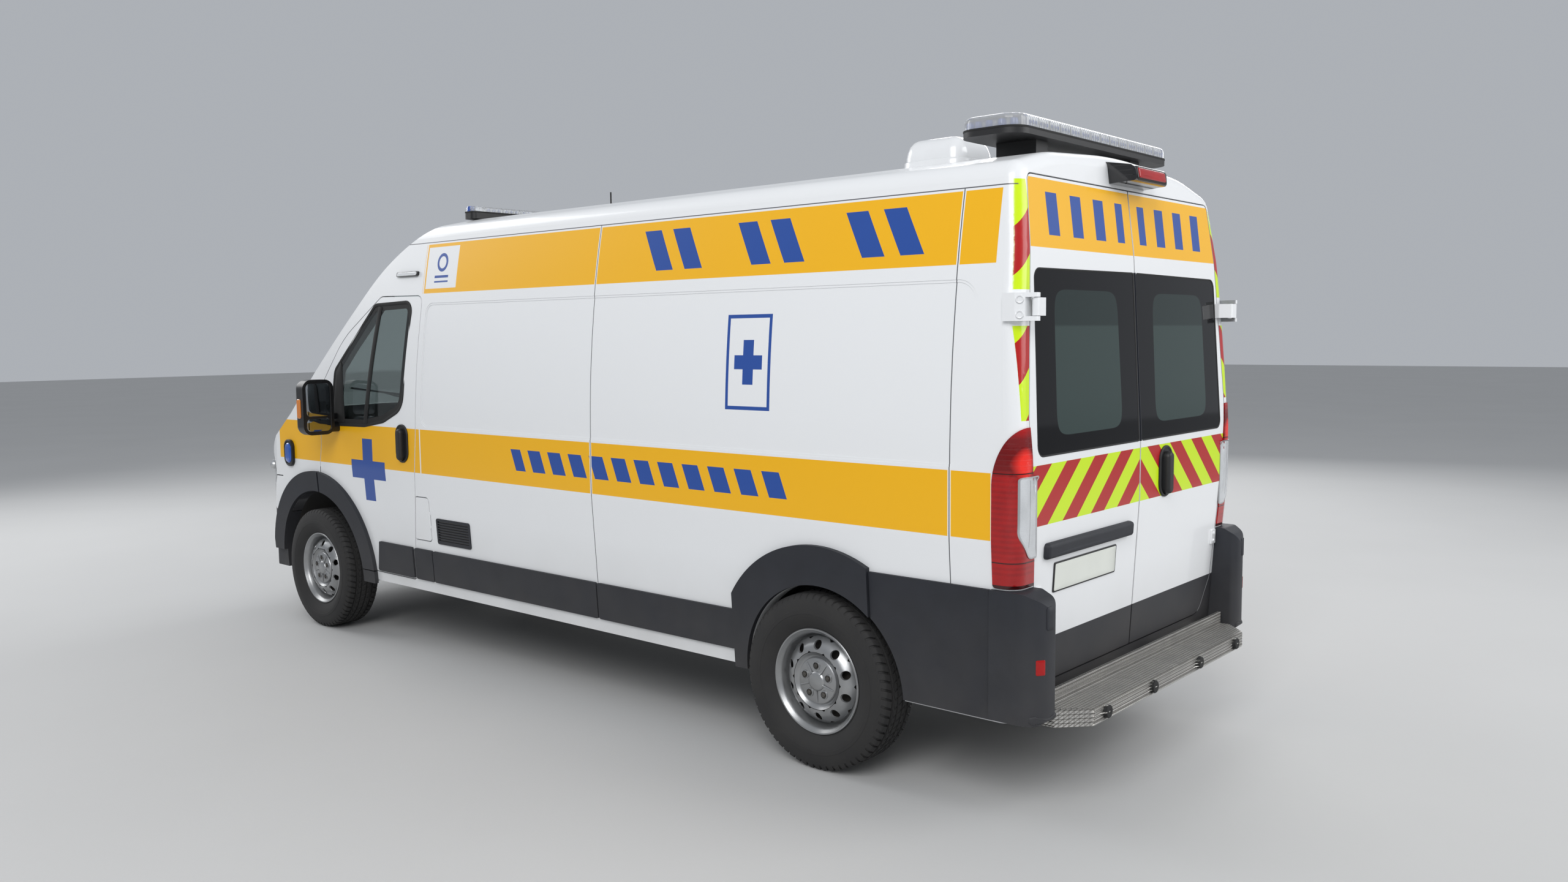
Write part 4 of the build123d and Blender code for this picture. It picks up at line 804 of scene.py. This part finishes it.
def door_mirror(hand, side):
    """Two glasses in a bezel, a flasher on the outside, and two arms."""
    body, node = f"door_{hand}", f"mirror_{hand}"
    back = on_end(-1, node)
    plates(f"mirror_glass_{hand}", MIRROR, body, back,
           *((mirror_y(box(1070, low, 1220, high, 26), side), [(0, -1), (0, 1.2), (2, 1.8)])
             for low, high in ((1352, 1548), (1262, 1338))))
    plates(f"mirror_bezel_{hand}", BLACK, body, back,
           (mirror_y(box(1058, 1250, 1232, 1560, 40), side), [(0, -3), (0, 3), (7, 3), (9, 0.5)]))
    plates(f"mirror_flasher_{hand}", AMBER, body, on_side(side, node),
           (box(3722, 1342, 3765, 1456, 12), [(0, -3), (0, 2), (3, 4.5)]))
    near, far = sorted((side * 985, side * 1060))
    bm = bmesh.new()
    for z in (1295, 1345):
        block(bm, mm(3735, near, z - 18), mm(3775, far, z + 18), 0.008)
    piece(f"mirror_arm_{hand}", bm, BLACK, body)


for hand, side in SIDES:
    body = f"door_{hand}"
    door_window(hand, side)
    handle(f"door_handle_{hand}", body, on_side(side, body), 3031, 1212, 62, 110)
    door_mirror(hand, side)
    plates(f"door_card_{hand}", TRIM, body, on_side(-side, body),
           (DOOR_CARD, [(0, -1), (0, 6), (6, 12), (14, 14)]),
           (box(3090, 650, 3540, 790, 30), [(0, 12), (0, 26), (6, 32), (12, 32)]),
           (box(3120, 1040, 3520, 1110, 30), [(0, 12), (0, 34), (8, 42), (14, 42)]))
handle("sliding_door_handle", "root", on_side(-1, "sliding_door"), 2618, 1212, 58, 105)
handle("rear_door_handle", "rear_door_right", on_end(-1, "rear_door_right"), -250, 1202, 66, 112)

# Rear doors: inner cards, number plate without text, its hood, glass edges, hinge leaves and bosses.
REAR_PANE = [(12, 1352, 12), (864, 1352, 40), (836, 2040, 40), (12, 2046, 12)]
HINGE_BOSS = [(0, -6), (14.5, -6), (14.5, 1), (15, 4), (13.5, 6), (10.5, 5.5), (9, 2), (0, 2)]
back_left = on_end(-1, "rear_door_left")
for name, look, outline, levels in (
        ("plate_hood", PLASTIC, box(80, 964, 800, 1026, 16), [(0, -2), (0, 9), (4, 20), (10, 24), (16, 25)]),
        ("plate_surround", SATIN, box(196, 826, 716, 942, 8), [(0, -1), (0, 3.5), (1.5, 4.2)]),
        ("rear_plate", PLATE, box(203, 832, 709, 936, 6), [(0, 3), (0, 5), (1, 5.4)])):
    plates(name, look, "rear_door_left", back_left, (outline, levels))


def rear_door(hand, side):
    body = f"rear_door_{hand}"
    panels = [mirror_y(box(110, low, 780, high, 30), side) for low, high in ((690, 1270), (2110, 2300))]
    plates(f"rear_door_card_{hand}", PALE, body, on_end(1, body),
           *((outline, [(0, -1), (0, 4), (5, 8), (9, 8)]) for outline in panels),
           (mirror_y(box(190, 1295, 330, 1365, 12), side), [(0, -1), (0, 9), (5, 14), (9, 14)]))
    bm = bmesh.new()
    strip(bm, shrunk(rounded(mirror_y(REAR_PANE, side), 6), 1), on_end(-1, body, f"rear_glass_{hand}"),
          slab(3, -1, 1), closed=True)
    piece(f"rear_glass_edge_{hand}", bm, RUBBER, body)
    bolts = [mirror_y(box(826, z - 8, 842, z + 8, 7.9), side) for z in (818, 852)]
    plates(f"hinge_leaf_{hand}", PAINT_PLAIN, body, on_end(-1, body),
           (mirror_y(box(812, 800, 866, 870, 6), side), [(0, -1), (0, 6), (2, 8)]),
           *((outline, [(0, 7), (0, 11), (2, 13)]) for outline in bolts))
    bm = bmesh.new()
    for z in (1870, 1924):
        turned(bm, HINGE_BOSS, mm(-945, side * 976, z), (-0.5, side * 0.866, 0), 28)
    piece(f"hinge_boss_{hand}", bm, PAINT_PLAIN)


for hand, side in SIDES:
    rear_door(hand, side)


def in_gap(a, b, h=0.0):
    """Places points in the gap where the rear doors meet, level with the left door's skin."""
    spot = back_left(9, b, h)
    spot.y = a / 1000
    return spot


bm = bmesh.new()
strip(bm, line_of((0, 520), (0, 2385), 90), in_gap, slab(3.5, -10, -4))
piece("meeting_seal", bm, RUBBER, "rear_door_left")

# Tail lamps and the high brake lamp: frosted inserts with a bright rim, and a red lens in a frame.
LAMP_INSERT = [(870, 1286, 6), (982, 1286, 10), (982, 1075, 70), (925, 988, 40), (870, 988, 8)]
for hand, side in SIDES:
    lens = on_end(-1, "tail_lamps")
    insert = mirror_y(LAMP_INSERT, side)
    bm = bmesh.new()
    dome(bm, insert, lens, [(0, -1), (0, 1.6), (2, 2.6), (4, 2.8)], fine=9)
    piece(f"lamp_insert_{hand}", bm, INSERT)
    bm = bmesh.new()
    strip(bm, split_long(rounded(insert, 6), 12), lens,
          [(-2.5, 0), (-2.5, 3.2), (2.5, 3.6), (2.5, 0)], closed=True)
    strip(bm, line_of((side * 930, 1276), (side * 930, 1030), 12), lens, slab(1.2, 1, 3.4))
    piece(f"lamp_insert_rim_{hand}", bm, BRIGHT)
pod = on_end(-1, "tail_lamps")
plates("brake_lamp_lens", RED_LENS, "root", pod,
       (box(-126, 2419, 126, 2460, 8), [(0, -2), (0, 3), (3, 5.5), (8, 6)]))
plates("brake_lamp_frame", SATIN, "root", pod,
       (box(-136, 2411, 136, 2468, 12), [(0, -3), (0, 2), (4, 3.2), (7, 3.2), (8, 1)]))

# Light bars: station, half depth, half length, base and top of the lens, and lamps in a row.
BARS = [(-630, 140, 690, 2588, 2640, 14), (2750, 50, 700, 2518, 2550, 10)]
SMALL_LIGHT = [(0, 0), (6.5, 0), (8.5, 3), (6, 6), (0, 7)]
CORNER_LIGHT = [(0, 0), (14, 0), (16, 18), (12, 30), (0, 32)]
GASKET = [(-2, -4), (-3, 0), (-2, 4), (3, 3), (3, -3)]


def reflector(bm, lights, x, y, half, row, base, top):
    """One slanting reflector across a bar, with three small lights on its face."""
    profile = [(-14, base + 4), (12, base + 4), (4, top - 10), (-14, top - 8)]
    tube(bm, [ring_of(bm, [mm(x + off * row, y + end, z) for off, z in profile])
              for end in (-half, half)])
    for j in (-1, 0, 1):
        spot = mm(x + row * 8, y + j * half * 0.6, base + (top - base) * 0.42)
        turned(lights, SMALL_LIGHT, spot, (row, 0, 0.25), 12)


def light_bar(index, x, depth, length, base, top, count):
    bm, lights = bmesh.new(), bmesh.new()
    pitch = (2 * length - 170) / count
    middles = [(k - (count - 1) / 2) * pitch for k in range(count)]
    for row in (-1, 1):
        for y in middles:
            reflector(bm, lights, x + row * (depth - 26), y, pitch / 2 - 4, row, base, top)
    for side in (-1, 1):
        for angle in map(radians, (-60, -30, 0, 30, 60)):
            out = length - depth * 0.55 + cos(angle) * depth * 0.3
            spot = mm(x + sin(angle) * (depth - 40), side * out, base + 2)
            turned(lights, CORNER_LIGHT, spot, (0, 0, 1), 14)
    for y in middles:
        block(bm, mm(x - depth + 52, y - pitch / 2 + 5, base + 2),
              mm(x + depth - 52, y + pitch / 2 - 5, top - 16), 0.006)
    piece(f"bar_reflectors_{index}", bm, BRIGHT)
    piece(f"bar_lights_{index}", lights, BLUE_GLOW)
    bm = bmesh.new()
    ring = shrunk(rounded(box(-depth, -length, depth, length, depth * 0.6), 8), 1)
    strip(bm, ring, level(x, 0, base), GASKET, closed=True)
    piece(f"bar_gasket_{index}", bm, RUBBER)


for index, bar in enumerate(BARS):
    light_bar(index, *bar)

# Roof vent and side flashers.
bm = bmesh.new()
vent = level(-205, 300, 0)
dome(bm, box(-150, -150, 150, 150, 70), vent,
     [(0, 2500), (1, 2550), (6, 2575), (16, 2600), (32, 2618), (52, 2628), (70, 2631)], 8)
dome(bm, box(-158, -158, 158, 158, 78), vent, [(0, 2495), (0, 2532), (4, 2536), (12, 2536)], 8)
piece("roof_vent", bm, PAINT_PLAIN, sharp=50)
for hand, side in SIDES:
    place = on_side(side, "side_flashers")
    for name, look, steps, outline, levels in (
            ("wing_flasher_lens", BLUE_LENS, 8, box(4312, 1022, 4384, 1150, 35),
             [(0, -2), (0, 3), (5, 8), (12, 10)]),
            ("wing_flasher_rim", BLACK, 8, box(4291, 1001, 4403, 1171, 50),
             [(0, -4), (0, 2), (6, 5), (13, 5), (15, 1)]),
            ("side_flasher_lens", INSERT, 5, box(2920, 2163, 3118, 2183, 8), [(0, -1), (0, 2), (2, 4)])):
        plates(f"{name}_{hand}", look, "root", place, (outline, levels), steps=steps)

# Rear bumper and step: reflectors, hinge covers, round buffers and ribs.
STEP_BUFFER = [(27, -3), (27, 3), (25, 6), (25, 13), (22.5, 16), (10, 16.5), (8, 15), (0, 15)]
for hand, side in SIDES:
    place = on_end(-1, "rear_bumper")
    plates(f"bumper_reflector_{hand}", RED_LENS, "root", place,
           (mirror_y(box(956, 580, 984, 636, 4), side), [(0, -1), (0, 2), (2, 3)]))
    plates(f"bumper_cover_{hand}", PLASTIC, "root", place,
           (mirror_y(box(914, 742, 950, 826, 8), side), [(0, -1), (0, 2.5), (3, 4)]),
           (mirror_y(box(880, 398, 1000, 430, 12), side), [(0, -1), (0, 3), (5, 6)]))
top, riser = Onto(Z_AXIS, 1, ["rear_step"]), on_end(-1, "rear_step")
bm = bmesh.new()
for k in range(9):
    x = -996 - k * 14.5
    half = min(836, 728 + max(0, x + 1131) * 108 / 102) if x < -1029 else 836
    strip(bm, line_of((x, -half), (x, half), 60), top, slab(3.2, -1, 2.4, 1))
for half, rise, heights in ((738, 1.8, (366, 378, 390, 402, 414)), (835, 1.6, (434, 448, 462, 474))):
    for z in heights:
        strip(bm, line_of((-half, z), (half, z), 60), riser, slab(3, -1, rise, 1))
piece("step_ribs", bm, TREAD)
bm = bmesh.new()
for y in (-640, -230, 230, 640):
    turned(bm, STEP_BUFFER, mm(-1131, y, 389), (-1, 0, 0), 28)
piece("step_buffers", bm, RUBBER)

# Windscreen: its seal and the wipers.
SCREEN_LINE = [(-835, 1372, 60), (-748, 2128, 90), (748, 2128, 90), (835, 1372, 60)]
SCREEN_SEAL = [(-8, -3), (-8, 2.2), (-5, 3.2), (5, 3.2), (8, 2.2), (8, -3)]
BLADE = [(-4, 0), (-3, 5), (-6, 8), (-6, 14), (6, 14), (6, 8), (3, 5), (4, 0)]
screen = on_end(1, "windscreen", "cab_frame")
bm = bmesh.new()
strip(bm, split_long(shrunk(rounded(SCREEN_LINE, 7), -14), 60, int), screen, SCREEN_SEAL, closed=True)
piece("screen_seal", bm, RUBBER)
bm = bmesh.new()
for start, end in (((-640, 1400), (-60, 1480)), ((-20, 1400), (600, 1490))):
    strip(bm, line_of(start, end, 24), screen, BLADE)
    middle = Vector(start).lerp(Vector(end), 0.5)
    pipe(bm, [screen(middle.x, middle.y, 16), screen(start[0] * 0.4 + middle.x * 0.6, start[1] + 14, 26),
              screen(start[0] + 30, 1384, 20)], 6.5)
    turned(bm, [(20, -20), (20, 10), (14, 18), (0, 20)], screen(start[0] + 30, 1382, 4), (0.7, 0, 0.7), 20)
piece("wipers", bm, SATIN)

# Front: lamp bowls, fog lamps, a plate without text and bars in the intake.
BOWLS = ((640, 900, 66), (800, 950, 60), (905, 975, 34))  # Y, Z, radius
FOG_RIM = [(62, -20), (62, 4), (55, 8), (50, 4), (46, 4)]
for hand, side in SIDES:
    inside = on_end(1, "headlamps")
    bm = bmesh.new()
    for y, z, r in BOWLS:
        bowl = [(r, 30), (r / 1.1, 18), (r / 1.5, 4), (14, 0), (12, 12), (0, 16)]
        turned(bm, bowl, inside(side * y, z, -40), (0.96, side * 0.25, 0.1), 32)
    piece(f"headlamp_bowls_{hand}", bm, BRIGHT)
bumper = on_end(1, "front_bumper")
for hand, side in SIDES:
    spot = bumper(side * 700, 505, 0)
    for name, look, profile in (("rim", BLACK, FOG_RIM), ("lens", INSERT, [(47, 2), (30, 8), (0, 10)])):
        bm = bmesh.new()
        turned(bm, profile, spot, (0.9, side * 0.43, 0), 32)
        piece(f"fog_lamp_{name}_{hand}", bm, look)
plates("front_plate", PLATE, "root", bumper, (box(-260, 585, 260, 695, 6), [(0, -2), (0, 6), (1.5, 7)]))


def behind_intake(a, b, h=0.0):
    return mm(4905 - abs(a) * 0.06 + h, a, b)


bm = bmesh.new()
for z in range(445, 556, 18):
    strip(bm, line_of((-425, z), (425, z), 30), behind_intake, slab(2.5, 0, 14))
piece("intake_bars", bm, BLACK)

# Cab inside: the steering wheel's cover, instruments and seats.
STEER = mm(3700, 430, 1170)
STEER_TILT = radians(32)
STEER_RADIUS = 0.19
HORN = [(64, -32), (66, -6), (60, 6), (46, 12), (0, 15)]
DIAL = [(48, -10), (48, 6), (42, 10), (34, 4), (0, 4)]


def steering_wheel():
    """A rim with eight soft swells round it, and a round pad in the middle."""
    axis = Vector((-sin(STEER_TILT), 0, cos(STEER_TILT)))
    u = Vector((0, 1, 0))
    v = axis.cross(u)
    bm, rings = bmesh.new(), []
    for t in circle(72):
        out = u * cos(t) + v * sin(t)
        thick = 0.0175 + 0.0012 * cos(8 * t)
        rings.append(ring_of(bm, [STEER + out * (STEER_RADIUS + thick * cos(a)) + axis * thick * sin(a)
                                  for a in circle(12)]))
    for i in range(len(rings)):
        bridge(bm, rings[i - 1], rings[i])
    turned(bm, HORN, STEER, axis, 40)
    piece("steering_wheel_cover", bm, TRIM, "steering_wheel")


steering_wheel()
bm = bmesh.new()
block(bm, mm(3868, 260, 1205), mm(3990, 600, 1262), 0.02)
block(bm, mm(3838, -170, 1000), mm(3865, 170, 1190), 0.012)
for y in (-800, -250, 250, 800):
    turned(bm, DIAL, mm(3850, y, 1150), (-1, 0, 0.2), 24)
piece("dash_details", bm, SATIN)

SEAT_Y = 430
SEAT_LEAN = Vector((-0.1, 0, 0.64)).normalized()
PAD_CELLS = 44
SEW_WIDTH = 0.035
SIDE_SEAM = 0.62
MOST_MOVED = 0.006


def drawn_in(a, b, soft):
    """How far a pad's edge reaches one way, at a share a of that way and b across it."""
    waist = 0.027 * (1 - b * b) * a ** 4
    corner = 0.05 * (a * b) ** 6
    return (1 - waist - corner) * sqrt(1 - soft * b ** 4)


def sewn(a, b, channels):
    """1 in the middle of a sewn channel across the pad or down its sides, less beside it."""
    gaps = [b - ((k + 1) / (channels + 1) * 2 - 1) for k in range(channels)] + [abs(a) - SIDE_SEAM]
    return max(exp(-(gap / SEW_WIDTH) ** 2) for gap in gaps)


def settle(obj):
    """Lets the cover take its shape under pressure as cloth, with each point moved 6 mm at most."""
    rest = np.array([v.co[:] for v in obj.data.vertices])
    cloth = obj.modifiers.new("cloth", "CLOTH")
    how = cloth.settings
    how.use_pressure = True
    how.uniform_pressure_force = 4.0
    how.mass = 0.2
    how.tension_stiffness = how.compression_stiffness = 20.0
    how.bending_stiffness = 2.0
    how.effector_weights.gravity = 0.0
    cloth.point_cache.frame_start, cloth.point_cache.frame_end = 1, 20
    for step in range(1, 13):
        scene.frame_set(step)
    view = obj.evaluated_get(bpy.context.evaluated_depsgraph_get())
    made = np.array([v.co[:] for v in view.data.vertices])
    obj.modifiers.remove(cloth)
    scene.frame_set(1)
    if made.shape == rest.shape and np.isfinite(made).all():
        move = made - rest
        size = np.linalg.norm(move, axis=1, keepdims=True)
        move *= np.minimum(1, MOST_MOVED / np.maximum(size, 1e-9))
        obj.data.vertices.foreach_set("co", (rest + move).ravel())
        obj.data.update()


def pad(name, centre, up, half_w, half_h, thick, channels=2, soft=0.2):
    """A stuffed pad: crowned on both faces, its edges drawn in between the corners, with sewn channels."""
    right, up = Vector((0, 1, 0)), Vector(up)
    out = right.cross(up)
    bm, grid = bmesh.new(), {}
    for face in (1, -1):
        for i in range(PAD_CELLS + 1):
            for j in range(PAD_CELLS + 1):
                if face < 0 and (i in (0, PAD_CELLS) or j in (0, PAD_CELLS)):
                    grid[face, i, j] = grid[1, i, j]
                    continue
                a, b = i / PAD_CELLS * 2 - 1, j / PAD_CELLS * 2 - 1
                crown = max((1 - abs(a) ** 3.2) * (1 - abs(b) ** 3.2), 0) ** 0.38
                groove = sewn(a, b, channels) if face > 0 else 0
                lift = thick / 2 * crown * (1 - 0.16 * groove)
                grid[face, i, j] = bm.verts.new(
                    centre + right * a * half_w * drawn_in(a, b, soft)
                    + up * b * half_h * drawn_in(b, a, soft) + out * face * lift)
        for i in range(PAD_CELLS):
            for j in range(PAD_CELLS):
                around = ((i, j), (i + 1, j), (i + 1, j + 1), (i, j + 1))
                corners = [grid[face, m, n] for m, n in around]
                bm.faces.new(corners if face > 0 else corners[::-1])
    obj = piece(name, bm, CLOTH, sharp=80)
    settle(obj)
    return obj


for hand, side in SIDES:
    y = side * SEAT_Y
    cushion = pad(f"seat_cushion_{hand}", mm(3150, y, 962), (-1, 0, 0), 0.24, 0.245, 0.118)
    if hand == "left":
        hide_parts("seats")
    middle = mm(2955, y, 1020) + SEAT_LEAN * 0.325
    pad(f"seat_back_{hand}", middle, SEAT_LEAN, 0.232, 0.318, 0.115, 3)
    pad(f"head_rest_{hand}", mm(2822, y, 1778), SEAT_LEAN, 0.128, 0.092, 0.085, 0, soft=0.5)
bm = bmesh.new()
for hand, side in SIDES:
    for off in (-60, 60):
        y = side * SEAT_Y + off
        pipe(bm, [mm(2850, y, 1620), mm(2822, y, 1780)], 6)
    pipe(bm, [mm(3010, side * 165, 930), mm(3330, side * 165, 920)], 12)
piece("head_rest_posts", bm, BRIGHT)

# Floor, light and camera.
bpy.ops.mesh.primitive_plane_add(size=120, location=(0, 0, -0.002))
floor = bpy.context.object
floor.name = "studio_floor"
ground = Look("studio_ground", (0.55, 0.55, 0.545), 0.7)
ground.lay((0.5, 0.5, 0.495), ground.noise(0.6, 5.0))
ground.bump(ground.noise(60.0, 4.0), 0.002, 0.2)
floor.data.materials.append(ground.done())

LAMPS = [  # name, place, target, size, power
    ("key", (-6.5, 9.5, 8.5), (0, 0, 1.2), 7.0, 900),
    ("fill", (-9.5, -4.0, 5.0), (-1, 0, 1.2), 6.0, 420),
    ("front", (9.0, 2.0, 6.0), (1, 0, 1.2), 6.0, 380),
    ("off_side", (2.0, -10.0, 6.0), (0, 0, 1.2), 6.0, 380),
]
for name, place, target, size, power in LAMPS:
    data = bpy.data.lights.new(name, "AREA")
    data.energy, data.size = power, size
    obj = placed(name, data)
    obj.location = place
    obj.rotation_euler = (Vector(target) - Vector(place)).to_track_quat("-Z", "Y").to_euler()
scene.world = bpy.data.worlds.new("studio")
scene.world.use_nodes = True
sky = scene.world.node_tree.nodes["Background"].inputs
sky["Color"].default_value = (0.8, 0.84, 0.9, 1)
sky["Strength"].default_value = 0.52
scene.view_settings.view_transform = "Standard"

# The camera that was solved from the photo: its focal length is in pixels of the photo's width.
FOCAL_LENGTH, PHOTO_WIDTH, SENSOR_WIDTH = 1975.95, 2560, 36.0
CAMERA_PLACE = (-3.1327 + REAR_AXLE, 4.7735, 1.8046)
YAW, PITCH, ROLL = -49.042, -4.988, -0.5965
camera = placed("camera", bpy.data.cameras.new("camera"))
camera.data.sensor_width = SENSOR_WIDTH
camera.data.lens = FOCAL_LENGTH * SENSOR_WIDTH / PHOTO_WIDTH
camera.data.clip_end = 200
turn = Matrix.Translation(CAMERA_PLACE)
for angle, axis in ((YAW - 90, "Z"), (PITCH + 90, "X"), (ROLL, "Z")):
    turn @= Matrix.Rotation(radians(angle), 4, axis)
camera.matrix_world = turn
scene.camera = camera
